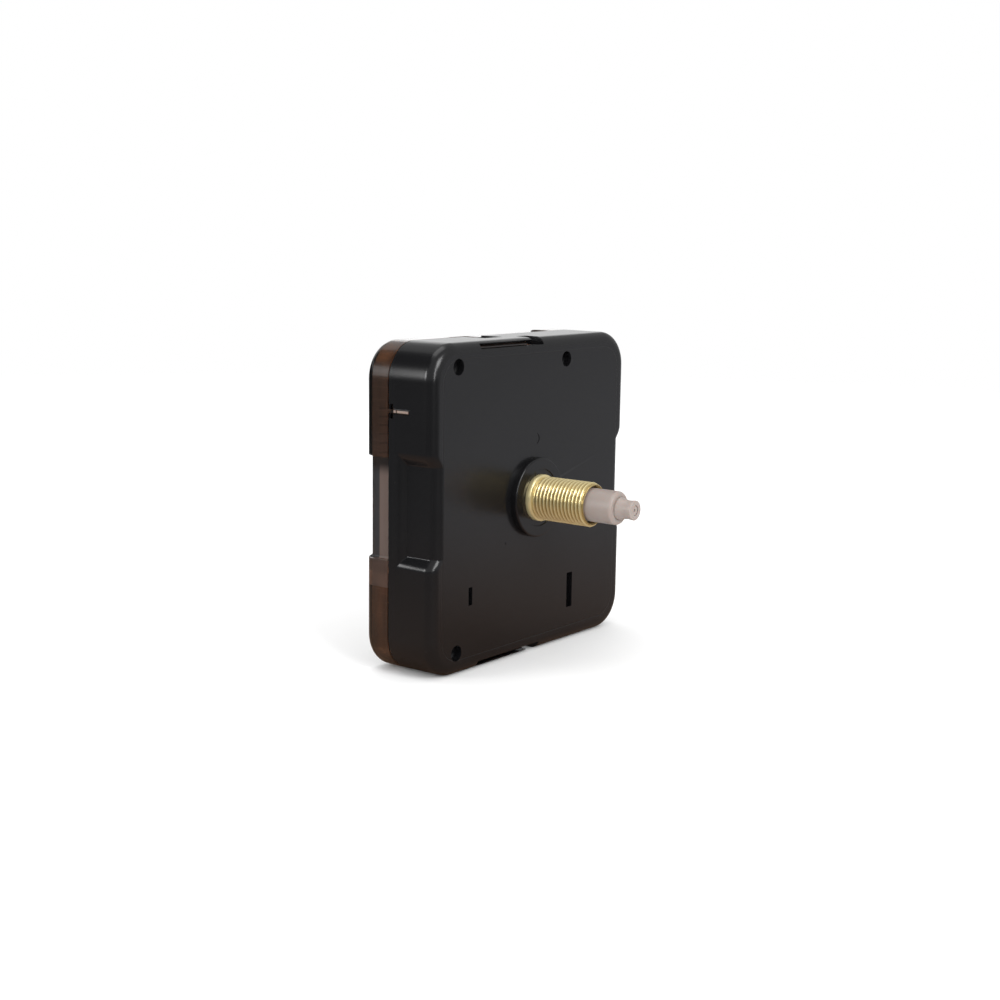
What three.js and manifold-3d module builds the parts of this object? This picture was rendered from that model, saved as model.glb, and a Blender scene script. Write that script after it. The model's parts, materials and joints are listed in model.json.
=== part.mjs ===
// A battery-driven quartz clock movement: a black front case and a smoke-brown rear cover round a
// stepping motor, its wheel train, the motion work and an open bay for one AA cell.
// Millimetres. Inside the movement group x runs to the right as seen from the dial, y is the depth
// behind the dial face of the case and z is the height over the shaft, whose axis is x = z = 0.
import * as THREE from 'three';
import { mergeVertices } from 'three/addons/utils/BufferGeometryUtils.js';
import { ConvexGeometry } from 'three/addons/geometries/ConvexGeometry.js';
import Module from 'manifold-3d';

const wasm = await Module();
wasm.setup();

// Housing
const caseSize = 56;
const caseDepth = 15;
const edgeRadius = 1.8;
const facePlate = 1.4;
const seam = 0.2;

// Clearances about turning pieces and about seated ones, how far a post or rib is rooted in the
// wall it stands on, and how far a cut passes what it opens
const running = 0.3;
const seated = 0.1;
const rooted = 0.7;
const overrun = 1;
const wheelClearance = 0.35;

// Dial face: raised ring round the shaft and three screw holes
const ring = { radius: 7, height: 1.2, edge: 0.25, recess: 5, recessDepth: 0.2 };
const screwHole = { radius: 1.4, collar: 2.3, collarHeight: 0.7 };

// The bushing and the three drives that run in it, one inside the next
const bushing = {
  bore: 3.2, thread: 3.85, chamfer: 0.4, collar: 4.12, collarHeight: 0.95, neck: 3.5,
  flange: 4.7, flangeThickness: 0.6, end: 12.7,
};
const hourPipe = { radius: 2.9, bore: 2.25, end: 17.9, shoulder: 0.65 };
const minutePipe = {
  radius: 1.95, bore: 1.17, end: 21, tip: 1.7, neck: 1.6, neckStart: 18.2, neckEnd: 19.9,
  journal: 1.6, rim: 0.12,
};
const secondsTube = { radius: 0.87, end: 20.6, hole: 0.27, holeDepth: 3 };

// Arbors are steel pins, held by the case at the front and by the train plate behind.
const arbor = { radius: 0.25, seat: 0.6, play: 0.06 };
const stud = { radius: 0.8, play: 0.15, proud: 0.3 };

// Wheels and pinions
const teeth = {
  hour: 40, minutePinion: 10, minute: 36, cannon: 12, knob: 16,
  centre: 64, thirdPinion: 8, third: 60, secondsPinion: 8,
  seconds: 48, intermediatePinion: 8, intermediate: 50, rotor: 10,
};

// Tooth heights over and under the pitch circle, as shares of the module, and tooth widths, as
// shares of the way from tooth to tooth. Wheel teeth meet in a pointed valley.
const wheelShares = { tip: 0.8, root: 1.45, tipWidth: 0.14 };
const pinionShares = { tip: 0.75, root: 1.1, tipWidth: 0.14, rootWidth: 0.42 };
const webShare = 0.45;

// Battery contacts of sheet metal
const sheet = 0.3;

// What lies across the case is given in shares of its size, 56 to the whole, and what is stacked
// along its depth in shares of that, 15 to the whole. All of it follows the case, while the
// bushing, its pipes, the arbors and the clearances above stay as they are.
const sizeShares = 56;
const depthShares = 15;
const acrossShares = {
  cornerRadius: 6.2,
  caseWall: 1.5,
  coverWall: 1.3,
  // Finger recesses in both sides: deep in the case, shallower in the cover
  recess: {
    depth: 1.2, surface: { low: -9.4, high: 10.1 }, floor: { low: -7.4, high: 7.75 },
    inCover: { depth: 0.85, low: -8.45, high: 8.97 },
  },
  // The bay for one AA cell lies across the foot of the case, under a partition.
  cell: { diameter: 14.5, slack: 0.2 },
  bay: { foot: 2.4, partition: 1, cornerRadius: 1.4, mouthLip: 0.8, mouthRadius: 0.3 },
  screwHoles: [{ x: -21.45, z: 24.05 }, { x: 8.9, z: 23.75 }, { x: -21.45, z: -24.05 }],
  // Slots of the face plate into the bay
  slots: [
    { left: -18.3, right: -17.3, low: -16.4, high: -13.3 },
    { left: 10.3, right: 12, low: -21.8, high: -15.4 },
  ],
  // Snap latches: arms of the cover reach forward under a thin lip of the case, top and bottom.
  // Heights are counted from the shaft outwards.
  latch: {
    left: -15.4, right: 2.1, front: 26.65, pocket: 25.5, lip: 27.55,
    mouth: { left: -0.7 },
    arm: { left: -14.6, right: -1.8, inner: 25.75, outer: 26.75 },
    nose: { top: 27.3, slope: 0.35 },
    rib: { inner: 27.05 },
  },
  window: { left: -8.7, right: -3.75, floor: 26.4 },
  lowered: { left: -12.6, right: 16.8, depth: 0.35 },
  // A small tab on each side of the cover slides into a slit in the case wall.
  tab: { height: 16.65, width: 0.66, clearance: 0.12, mouth: 1.2 },
  // From axis to axis
  distance: { minute: 8.4, third: 7.6, intermediate: 7.7, rotor: 7.2 },
  wheelSizes: { rim: 0.9, hub: 1.5, hubMargin: 0.7, windowGap: 0.5 },
  pillar: { radius: 1.1, clearance: 0.35, pin: 0.55 },
  trainPlate: { margin: 3.1, cornerRadius: 2.2, boss: 1.3 },
  // Motor: rotor magnet, two stator plates, and a coil on the core that joins their arms
  magnet: { radius: 3, bore: 0.95, foot: 1.8 },
  stator: {
    lobe: 5.6, gap: 0.4, bandLow: 0.9, bandHigh: 5.1, armWidth: 3.4, reach: 14.6,
    cornerRadius: 0.9, poleGap: 0.5,
  },
  coil: { above: 10.3, flangeThickness: 0.9 },
  coilPost: { radius: 1.5, pin: 0.8 },
  // Circuit board with its quartz crystal and the resin drop over its chip
  board: { left: -24.6, right: -10.2, low: 8, high: 21.4, cornerRadius: 0.8 },
  boardPost: { radius: 1.3, pin: 0.6, inset: 1.9 },
  crystal: { radius: 1, length: 6, left: -23, height: 11.4, edge: 0.25 },
  blob: { radius: 2.7, x: -15.4, z: 16.6 },
  // The strips of the battery contacts pass the partition side by side.
  strip: { width: 1.8, notch: 2.2, negative: -23.6, positive: -20.5, bend: 1.8 },
  plate: { low: -23.8, high: -12.6, dimple: 2.2, dimpleTop: 1.1, dimpleHeight: 0.35 },
  leaf: { low: -21.8, high: -14.9, reach: 1.1 },
  // Setting knob, in a well of the cover
  knob: { stud: 1, shaft: 2.7, head: 5.05, fluteDepth: 0.35, slot: 0.9 },
  well: { radius: 5.5, wall: 1 },
};
const deepShares = {
  splitDepth: 9.6,
  recess: { surface: { far: 7.8 }, floor: { far: 6.3 } },
  latch: {
    mouth: { depth: 4.2 }, arm: { rootFar: 11.4 }, nose: { near: 0.9, far: 2.1 },
    rib: { near: 2.4, far: 3.6 },
  },
  window: { near: 4.8, far: 13.1 },
  tab: { near: 5.3, mouthDepth: 1 },
  thickness: {
    hour: 0.8, cannon: 1, minute: 0.8, centre: 0.7, third: 0.7, seconds: 0.7, intermediate: 0.65,
  },
  levelGap: 0.45,
  pillar: { proud: 0.5 },
  trainPlate: { thickness: 1, gap: 0.68, bossHeight: 0.5 },
  magnet: { length: 2.6, footThickness: 0.45 },
  stator: { thickness: 0.8 },
  coil: {
    coreWidth: 3.2, coreThickness: 1, winding: 3.6, shoulder: 0.45, flange: 4.3, tubeWall: 0.6,
    play: 0.15,
  },
  coilPost: { proud: 0.5 },
  board: { near: 3, thickness: 0.8 },
  boardPost: { proud: 0.5 },
  blob: { height: 1.1 },
  plate: { far: 12 },
  knob: { studHeight: 2.6, gearLength: 1.3, headNear: 13.45, headFar: 14.9, slotDepth: 0.5 },
  well: { floorNear: 12, floorThickness: 1.1 },
};

// The shares of both tables as lengths, name by name
function lengths(share, unitAcross, unitDeep, other) {
  if (typeof share === 'number') return share * unitAcross;
  if (Array.isArray(share)) return share.map((one) => lengths(one, unitAcross, unitDeep));
  const named = Object.entries(share).map(([name, own]) =>
    [name, lengths(own, unitAcross, unitDeep, other?.[name])]);
  const deepOnly = Object.entries(other ?? {}).filter(([name]) => !(name in share)).map(
    ([name, own]) => [name, lengths(own, unitDeep, unitDeep)]);
  return Object.fromEntries([...named, ...deepOnly]);
}
const {
  cornerRadius, caseWall, coverWall, splitDepth, levelGap, recess, cell, bay, screwHoles, slots,
  latch, window, lowered, tab, distance, thickness, wheelSizes, pillar, trainPlate, magnet,
  stator, coil, coilPost, board, boardPost, crystal, blob, strip, plate, leaf, knob, well,
} = lengths(
  acrossShares, caseSize / sizeShares, caseDepth / depthShares, deepShares);

// How many flat sides or steps stand for a round form
const sides = { arbor: 8, pin: 8, post: 10, hole: 12, bore: 14, pipe: 20, drum: 18, face: 28 };
const steps = { corner: 6, smallCorner: 3, rim: 4, curve: 4 };

const degree = Math.PI / 180;
const half = caseSize / 2;
const point = (x, z) => new THREE.Vector2(x, z);
const polar = (centre, radius, angle) =>
  point(centre.x + radius * Math.cos(angle), centre.y + radius * Math.sin(angle));
const sorted = (a, b) => (a < b ? [a, b] : [b, a]);

// Outlines are closed lists of points, in x and z unless a function says otherwise.
function arc(centre, radius, from, to, count) {
  return Array.from({ length: count + 1 }, (_, i) =>
    polar(centre, radius, from + (to - from) * i / count));
}

function circle(centre, radius, count) {
  return arc(centre, radius, 0, 2 * Math.PI, count).slice(0, -1);
}

function rectangle(x0, x1, z0, z1) {
  return [point(x0, z0), point(x1, z0), point(x1, z1), point(x0, z1)];
}

// Rounds the corners of an outline; a corner may carry a radius of its own.
function rounded(corners, radius, count = steps.smallCorner) {
  return corners.flatMap((corner, i) => {
    const own = corner.radius ?? radius;
    if (own === 0) return [corner];
    const before = corners.at(i - 1).clone().sub(corner).normalize();
    const after = corners[(i + 1) % corners.length].clone().sub(corner).normalize();
    const halfAngle = Math.acos(before.dot(after)) / 2;
    const reach = own / Math.tan(halfAngle);
    const middle = before.clone().add(after).normalize();
    const centre = corner.clone().addScaledVector(middle, own / Math.sin(halfAngle));
    const start = corner.clone().addScaledVector(before, reach).sub(centre).angle();
    const end = corner.clone().addScaledVector(after, reach).sub(centre).angle();
    const turn = Math.atan2(Math.sin(end - start), Math.cos(end - start));
    return arc(centre, own, start, start + turn, count);
  });
}

const cornerOf = (x, z, radius) => Object.assign(point(x, z), { radius });

// A band of even thickness along a bent line, mitred at its bends: sheet metal seen edge on
function ribbon(line) {
  const normals = line.slice(1).map((there, i) => {
    const along = there.clone().sub(line[i]).normalize();
    return point(-along.y, along.x);
  });
  const offsets = line.map((_, i) => {
    const before = normals[Math.max(i - 1, 0)];
    const after = normals[Math.min(i, normals.length - 1)];
    const mitre = before.clone().add(after).normalize();
    return mitre.multiplyScalar(sheet / 2 / mitre.dot(after));
  });
  const left = line.map((here, i) => here.clone().add(offsets[i]));
  const right = line.map((here, i) => here.clone().sub(offsets[i]));
  return [...left, ...right.reverse()];
}

// Solids
function signedVolume(vertices, triangles) {
  const corner = (index) => new THREE.Vector3().fromArray(vertices, 3 * index);
  let sum = 0;
  for (let i = 0; i < triangles.length; i += 3) {
    const [a, b, c] = triangles.slice(i, i + 3).map(corner);
    sum += a.dot(b.cross(c));
  }
  return sum;
}

// A closed geometry as a solid that can be cut and joined, with its faces turned outwards. Its
// corners lie on a very fine grid, so that faces meant to be flush are exactly flush.
const gridPerMillimetre = 10000;
const onGrid = (length) => Math.round(length * gridPerMillimetre) / gridPerMillimetre;

function solid(geometry) {
  geometry.deleteAttribute('normal');
  geometry.deleteAttribute('uv');
  const merged = mergeVertices(geometry);
  const vertProperties = Float32Array.from(merged.attributes.position.array, onGrid);
  const corners = Array.from(merged.index.array);
  const triangles = [];
  for (let i = 0; i < corners.length; i += 3) {
    const [a, b, c] = corners.slice(i, i + 3);
    if (a !== b && b !== c && c !== a) triangles.push(a, b, c);
  }
  if (signedVolume(vertProperties, triangles) < 0) triangles.reverse();
  const triVerts = Uint32Array.from(triangles);
  return new wasm.Manifold(new wasm.Mesh({ numProp: 3, vertProperties, triVerts }));
}

const join = (first, ...others) => others.reduce((sum, one) => sum.add(one), first);
const cut = (first, ...others) => others.reduce((rest, one) => rest.subtract(one), first);

const unit = {
  x: new THREE.Vector3(1, 0, 0),
  y: new THREE.Vector3(0, 1, 0),
  z: new THREE.Vector3(0, 0, 1),
};

function extruded(outline, holes, length, start, basis) {
  const shape = new THREE.Shape(outline);
  shape.holes = holes.map((hole) => new THREE.Path(hole));
  const geometry = new THREE.ExtrudeGeometry(shape, { depth: length, bevelEnabled: false });
  geometry.applyMatrix4(new THREE.Matrix4().makeBasis(...basis));
  geometry.translate(start.x, start.y, start.z);
  return solid(geometry);
}

// An outline in x and z, with its thickness between two depths
function slab(outline, near, far, holes = []) {
  const basis = [unit.x, unit.z, unit.y.clone().negate()];
  return extruded(outline, holes, far - near, unit.y.clone().multiplyScalar(far), basis);
}

// An outline in depth and height, carried across in x
function rail(outline, from, to) {
  const basis = [unit.y, unit.z, unit.x];
  return extruded(outline, [], to - from, unit.x.clone().multiplyScalar(from), basis);
}

// An outline in x and depth, carried upwards in z
function upright(outline, from, to) {
  const basis = [unit.x, unit.y, unit.z];
  return extruded(outline, [], to - from, unit.z.clone().multiplyScalar(from), basis);
}

const block = (x0, x1, near, far, z0, z1) => slab(rectangle(x0, x1, z0, z1), near, far);

// Blocks at the top or the foot, and at the left or the right, by their distances from the shaft
const endBlock = (side, x0, x1, near, far, inner, outer) =>
  block(x0, x1, near, far, ...sorted(side * inner, side * outer));
const flankBlock = (side, inner, outer, near, far, low, high) =>
  block(...sorted(side * inner, side * outer), near, far, low, high);

// All that lies in a range of depths
const layer = (near, far) =>
  block(-half - overrun, half + overrun, near, far, -half - overrun, half + overrun);

// A profile of [radius, place along the axis] turned into a round solid
function lathed(profile, count) {
  const points = profile.map(([radius, place]) => point(radius, place));
  if (points[0].x > 0) points.push(points[0].clone());
  return new THREE.LatheGeometry(points, count);
}

// About an axis that runs along the depth
function turned(profile, centre, count) {
  return solid(lathed(profile, count).translate(centre.x, 0, centre.y));
}

// About an axis that runs across in x, at a place given by its depth and height
function turnedAcross(profile, place, count) {
  return solid(lathed(profile, count).rotateZ(-Math.PI / 2).translate(0, place.x, place.y));
}

function rod(centre, radius, near, far, count) {
  return turned([[0, near], [radius, near], [radius, far], [0, far]], centre, count);
}

function tube(centre, outer, inner, near, far, count) {
  return turned([[inner, near], [outer, near], [outer, far], [inner, far]], centre, count);
}

// A post on the face plate with a shoulder and a pin
function post(centre, radius, shoulder, pin, far) {
  const root = facePlate - rooted;
  return turned(
    [[0, root], [radius, root], [radius, shoulder], [pin, shoulder], [pin, far], [0, far]],
    centre, sides.post);
}

// Places that follow from the driving dimensions
bay.low = -half + bay.foot;
bay.high = bay.low + cell.diameter + cell.slack;
bay.end = half - caseWall;
bay.roof = bay.high + bay.partition;
bay.axis = point(facePlate + (cell.diameter + cell.slack) / 2, (bay.low + bay.high) / 2);

const pairModule = (reach, one, other) => 2 * reach / (teeth[one] + teeth[other]);
const modules = {
  motion: pairModule(distance.minute, 'hour', 'minutePinion'),
  setting: pairModule(distance.minute, 'minute', 'cannon'),
  centre: pairModule(distance.third, 'centre', 'thirdPinion'),
  third: pairModule(distance.third, 'third', 'secondsPinion'),
  seconds: pairModule(distance.intermediate, 'seconds', 'intermediatePinion'),
  motor: pairModule(distance.rotor, 'intermediate', 'rotor'),
};
distance.knob = modules.setting * (teeth.minute + teeth.knob) / 2;
const tipOf = (name, module) => module * (teeth[name] / 2 + wheelShares.tip);

// The minute and third wheels stand just clear of the partition, on either side of the shaft.
function clearOfPartition(side, reach, tip) {
  const height = bay.roof + wheelClearance + tip;
  return point(side * Math.sqrt(reach ** 2 - height ** 2), height);
}
const axis = { shaft: point(0, 0) };
axis.minute = clearOfPartition(-1, distance.minute, tipOf('minute', modules.setting));
axis.third = clearOfPartition(1, distance.third, tipOf('third', modules.third));
axis.knob = polar(axis.minute, distance.knob, 160 * degree);
axis.intermediate = polar(axis.shaft, distance.intermediate, 63 * degree);
axis.rotor = polar(axis.intermediate, distance.rotor, 13 * degree);

// Depths of the works, front to back, each from the one before it
const level = { hour: facePlate + bushing.flangeThickness + running + seated };
level.cannon = level.hour + thickness.hour + levelGap;
level.minute = level.cannon + seated;
level.centre = level.cannon + thickness.cannon + running;
level.secondsPinion = level.centre + thickness.centre + levelGap;
level.third = level.secondsPinion + levelGap;
level.seconds = level.third + thickness.third + levelGap;
level.intermediate = level.seconds + thickness.seconds + levelGap;
level.plate = level.intermediate + thickness.intermediate + trainPlate.gap;
level.plateFar = level.plate + trainPlate.thickness;

stator.near = level.third - levelGap - stator.thickness;
stator.far = stator.near + stator.thickness;
magnet.near = stator.near + (stator.thickness - magnet.length) / 2;
magnet.far = magnet.near + magnet.length;
coil.height = axis.rotor.y + coil.above;
coil.halfLength = stator.reach - stator.armWidth - running;
coil.near = stator.far + seated;
coil.far = coil.near + coil.coreThickness;
coil.axis = point((coil.near + coil.far) / 2, coil.height);
board.far = board.near + board.thickness;

// Each pillar stands clear of the widest wheel or plate beside it.
const beside = (centre, radius, angle) =>
  polar(centre, radius + pillar.radius + pillar.clearance, angle * degree);
const pillars = [
  beside(axis.shaft, stator.reach - magnet.radius, 132),
  beside(axis.shaft, tipOf('hour', modules.motion), -86),
  beside(axis.third, tipOf('third', modules.third), -25),
  beside(axis.rotor, stator.lobe, -20),
];
const coilPosts = [-1, 1].map((side) =>
  point(axis.rotor.x + side * (stator.reach - stator.armWidth / 2), coil.height));
const boardPosts = [
  point(board.left + boardPost.inset, board.high - boardPost.inset),
  point(board.right - boardPost.inset, board.low + boardPost.inset),
];

// The phase that puts a gear in mesh with one whose own phase is known, in a given direction
const directionOf = (from, to) => axis[to].clone().sub(axis[from]).angle();
function meshed(phase, from, to, direction) {
  const turn = direction - phase;
  return direction + Math.PI + teeth[from] / teeth[to] * turn - Math.PI / teeth[to];
}
const phase = { hour: 0, centre: 0, seconds: 0 };
phase.cannon = directionOf('shaft', 'minute');
phase.minute = meshed(phase.cannon, 'cannon', 'minute', directionOf('shaft', 'minute'));
phase.minutePinion = meshed(phase.hour, 'hour', 'minutePinion', directionOf('shaft', 'minute'));
phase.knob = meshed(phase.minute, 'minute', 'knob', directionOf('minute', 'knob'));
phase.thirdPinion = meshed(phase.centre, 'centre', 'thirdPinion', directionOf('shaft', 'third'));
phase.third = directionOf('third', 'shaft');
phase.secondsPinion = meshed(phase.third, 'third', 'secondsPinion', directionOf('third', 'shaft'));
phase.intermediatePinion = meshed(
  phase.seconds, 'seconds', 'intermediatePinion', directionOf('shaft', 'intermediate'));
phase.intermediate = directionOf('intermediate', 'rotor');
phase.rotor = meshed(
  phase.intermediate, 'intermediate', 'rotor', directionOf('intermediate', 'rotor'));

function gearOutline(name, module, centre, tooth) {
  const step = 2 * Math.PI / teeth[name];
  const tip = module * (teeth[name] / 2 + tooth.tip);
  const root = module * (teeth[name] / 2 - tooth.root);
  return Array.from({ length: teeth[name] }, (_, i) => {
    const at = (radius, share) => polar(centre, radius, phase[name] + (i + share / 2) * step);
    const land = [at(tip, -tooth.tipWidth), at(tip, tooth.tipWidth)];
    return tooth.rootWidth
      ? [at(root, -tooth.rootWidth), ...land, at(root, tooth.rootWidth)]
      : [...land, at(root, 1)];
  }).flat();
}

function pinion(name, module, centre, near, far, bore) {
  const outline = gearOutline(name, module, centre, pinionShares);
  return slab(outline, near, far, [circle(centre, bore, sides.bore)]);
}

// A wheel with three round windows and, where asked, a thinner web between hub and rim
function wheel(name, module, centre, bore, webbed) {
  const near = level[name];
  const far = near + thickness[name];
  const rim = module * (teeth[name] / 2 - wheelShares.root) - wheelSizes.rim;
  const hub = Math.max(wheelSizes.hub, bore + wheelSizes.hubMargin);
  const windows = [0, 120, 240].map((angle) => circle(
    polar(centre, (rim + hub) / 2, phase[name] + angle * degree),
    (rim - hub) / 2 - wheelSizes.windowGap, sides.pin));
  const outline = gearOutline(name, module, centre, wheelShares);
  const disc = slab(outline, near, far, [circle(centre, bore, sides.bore), ...windows]);
  if (!webbed) return disc;
  const webFar = near + thickness[name] * webShare;
  return cut(disc, tube(centre, rim, hub, webFar, far + overrun, sides.pipe));
}

// The whole housing before it is split: a rounded square with both of its rims rounded over
function housing() {
  const outline = rounded(rectangle(-half, half, -half, half), cornerRadius, steps.corner);
  const geometry = new THREE.ExtrudeGeometry(new THREE.Shape(outline), {
    depth: caseDepth - 2 * edgeRadius,
    bevelThickness: edgeRadius,
    bevelSize: edgeRadius,
    bevelOffset: -edgeRadius,
    bevelSegments: steps.rim,
  });
  return solid(geometry.rotateX(Math.PI / 2).translate(0, caseDepth - edgeRadius, 0));
}

// The room inside either half: it steps inwards behind the finger recesses.
function room(wall, step, near, far) {
  const wide = half - wall;
  const narrow = wide - step;
  const { low, high } = recess.surface;
  const upper = cornerRadius - wall;
  const outline = rounded([
    cornerOf(-wide, bay.low, bay.cornerRadius), cornerOf(wide, bay.low, bay.cornerRadius),
    cornerOf(wide, low, 0), cornerOf(narrow, low, 0),
    cornerOf(narrow, high, 0), cornerOf(wide, high, 0),
    cornerOf(wide, wide, upper), cornerOf(-wide, wide, upper),
    cornerOf(-wide, high, 0), cornerOf(-narrow, high, 0),
    cornerOf(-narrow, low, 0), cornerOf(-wide, low, 0),
  ]);
  return slab(outline, near, far);
}

function recessInCase(side) {
  const at = (key, share) =>
    recess.floor[key] + (recess.surface[key] - recess.floor[key]) * share;
  const corners = [0, 1 + overrun / recess.depth].flatMap((share) => {
    const x = side * (half - recess.depth * (1 - share));
    return [-overrun, at('far', share)].flatMap((depth) =>
      [at('low', share), at('high', share)].map((z) => new THREE.Vector3(x, depth, z)));
  });
  return solid(new ConvexGeometry(corners));
}

function recessInCover(side) {
  const { depth, low, high } = recess.inCover;
  return flankBlock(side, half - depth, half + overrun, 0, caseDepth + overrun, low, high);
}

function raisedRing() {
  const root = facePlate - rooted;
  const floor = ring.recessDepth - ring.height;
  return turned([
    [0, root], [ring.radius, root], [ring.radius, ring.edge - ring.height],
    [ring.radius - ring.edge, -ring.height], [ring.recess, -ring.height],
    [ring.recess, floor], [0, floor],
  ], axis.shaft, sides.face);
}

function casePosts() {
  const root = facePlate - rooted;
  return [
    ...pillars.map((at) => post(
      at, pillar.radius, level.plate - seated, pillar.pin, level.plateFar + pillar.proud)),
    ...coilPosts.map((at) => post(
      at, coilPost.radius, stator.near - seated, coilPost.pin, coil.far + coilPost.proud)),
    ...boardPosts.map((at) => post(
      at, boardPost.radius, board.near - seated, boardPost.pin, board.far + boardPost.proud)),
    rod(axis.minute, stud.radius, root, level.minute + thickness.minute + stud.proud, sides.post),
    rod(axis.knob, knob.stud, root, facePlate + knob.studHeight, sides.post),
    ...screwHoles.slice(0, 2).map(({ x, z }) => rod(
      point(x, z), screwHole.collar, root, facePlate + screwHole.collarHeight, sides.hole)),
  ];
}

function caseHoles() {
  const inside = facePlate + screwHole.collarHeight + overrun;
  const notch = strip.notch / 2;
  return [
    rod(axis.shaft, bushing.neck + seated, -ring.height - overrun, inside, sides.face),
    ...screwHoles.map(({ x, z }) =>
      rod(point(x, z), screwHole.radius, -overrun, inside, sides.hole)),
    ...slots.map(({ left, right, low, high }) => block(left, right, -overrun, inside, low, high)),
    ...[axis.third, axis.intermediate, axis.rotor].map((at) =>
      rod(at, arbor.radius + arbor.play, facePlate - arbor.seat, inside, sides.arbor)),
    ...[strip.negative, strip.positive].map((x) => block(
      x - notch, x + notch, facePlate, facePlate + sheet + 2 * running,
      bay.high - overrun, bay.roof + overrun)),
  ];
}

// Openings for one latch: the notch in the face, the pocket behind it and the open mouth
function latchOpenings(side) {
  const inside = splitDepth + overrun;
  const { left, right, front, pocket, lip, mouth } = latch;
  return [
    endBlock(side, left, right, -overrun, facePlate + overrun, front, lip),
    endBlock(side, left, right, facePlate, inside, pocket, lip),
    endBlock(side, mouth.left, right, -overrun, mouth.depth, front, half + overrun),
  ];
}

function tabSlit(side) {
  const inner = half - caseWall - overrun;
  const reach = tab.width / 2 + tab.clearance;
  const near = tab.near - 2 * tab.clearance;
  const { height, mouth, mouthDepth } = tab;
  return [
    flankBlock(side, inner, half + overrun, near, splitDepth, height - reach, height + reach),
    flankBlock(side, inner, half + overrun, splitDepth - mouthDepth, splitDepth,
      height - mouth, height + mouth),
  ];
}

const windowCut = (near, far, floor) =>
  endBlock(1, window.left, window.right, near, far, floor, half + overrun);

function frontCase() {
  const { arm, rib, lip, left } = latch;
  const edge = splitDepth - seam / 2;
  const shell = cut(
    housing(), layer(edge, caseDepth + overrun),
    room(caseWall, recess.depth, facePlate, splitDepth + overrun),
    recessInCase(-1), recessInCase(1));
  const partition = block(
    rooted - half, half - rooted, facePlate - rooted, edge, bay.high, bay.roof);
  const body = cut(
    join(shell, raisedRing(), partition, ...casePosts()),
    ...caseHoles(), ...latchOpenings(-1), ...latchOpenings(1), ...tabSlit(-1), ...tabSlit(1));
  const ribs = [-1, 1].map((side) => endBlock(
    side, left - overrun, arm.right, rib.near, rib.far, rib.inner, (lip + half) / 2));
  return cut(join(body, ...ribs), windowCut(window.near, splitDepth + overrun, latch.pocket));
}

// An arm of the cover, with its nose behind the rib of the case
function latchArm(side) {
  const { arm, nose } = latch;
  const wall = half - coverWall + rooted;
  const front = facePlate + seated;
  const edge = splitDepth + seam / 2;
  const profile = [
    [front, arm.inner], [arm.rootFar, arm.inner], [arm.rootFar, wall], [edge, wall],
    [edge, arm.outer], [nose.far, arm.outer], [nose.far, nose.top],
    [nose.near + nose.slope, nose.top], [nose.near, nose.top - nose.slope],
    [nose.near, arm.outer], [front, arm.outer],
  ].map(([depth, height]) => point(depth, side * height));
  return rail(profile, arm.left, arm.right);
}

function coverTab(side) {
  const reach = tab.width / 2;
  return flankBlock(side, half - caseWall, half - seated, tab.near, splitDepth + seam,
    tab.height - reach, tab.height + reach);
}

function rearCover() {
  const edge = splitDepth + seam / 2;
  const innerFar = caseDepth - coverWall;
  const shell = cut(
    housing(), layer(-overrun, edge),
    room(coverWall, recess.inCover.depth, splitDepth - overrun, innerFar),
    recessInCover(-1), recessInCover(1));
  const partition = block(
    rooted - half, half - rooted, edge, innerFar + rooted, bay.high, bay.roof);
  const wellWall = rod(
    axis.knob, well.radius + well.wall, well.floorNear, innerFar + rooted, sides.face);
  const wellFloor = well.floorNear + well.floorThickness;
  const mouthEnd = bay.end - bay.mouthLip;
  const mouth = rounded(rectangle(-mouthEnd, mouthEnd, bay.low, bay.high), bay.mouthRadius);
  const openings = [
    slab(mouth, innerFar - overrun, caseDepth + overrun),
    rod(axis.knob, well.radius, wellFloor, caseDepth + overrun, sides.face),
    rod(axis.knob, knob.shaft + running, well.floorNear - overrun, caseDepth, sides.pipe),
    endBlock(1, lowered.left, lowered.right, 0, caseDepth + overrun, half - lowered.depth,
      half + overrun),
  ];
  const body = cut(join(shell, partition, wellWall), ...openings);
  const fittings = [-1, 1].flatMap((side) => [latchArm(side), coverTab(side)]);
  return cut(join(body, ...fittings), windowCut(edge - seam, window.far, window.floor));
}

function threadedBushing() {
  const base = ring.recessDepth - ring.height;
  const shoulder = base - bushing.collarHeight;
  const flangeFar = facePlate + bushing.flangeThickness;
  return turned([
    [bushing.bore, -bushing.end], [bushing.thread - bushing.chamfer, -bushing.end],
    [bushing.thread, bushing.chamfer - bushing.end], [bushing.thread, shoulder],
    [bushing.collar, shoulder], [bushing.collar, base], [bushing.neck, base],
    [bushing.neck, facePlate], [bushing.flange, facePlate],
    [bushing.flange, flangeFar], [bushing.bore, flangeFar],
  ], axis.shaft, sides.face);
}

function hourWheel() {
  const { radius, bore, end, shoulder } = hourPipe;
  const shoulderArc = arc(
    point(radius - shoulder, shoulder - end), shoulder, -90 * degree, 0, steps.curve);
  const foot = level.hour + seated;
  const pipe = turned([
    [bore, -end], ...shoulderArc.map(({ x, y }) => [x, y]), [radius, foot], [bore, foot],
  ], axis.shaft, sides.pipe);
  return join(wheel('hour', modules.motion, axis.shaft, bore, false), pipe);
}

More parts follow.
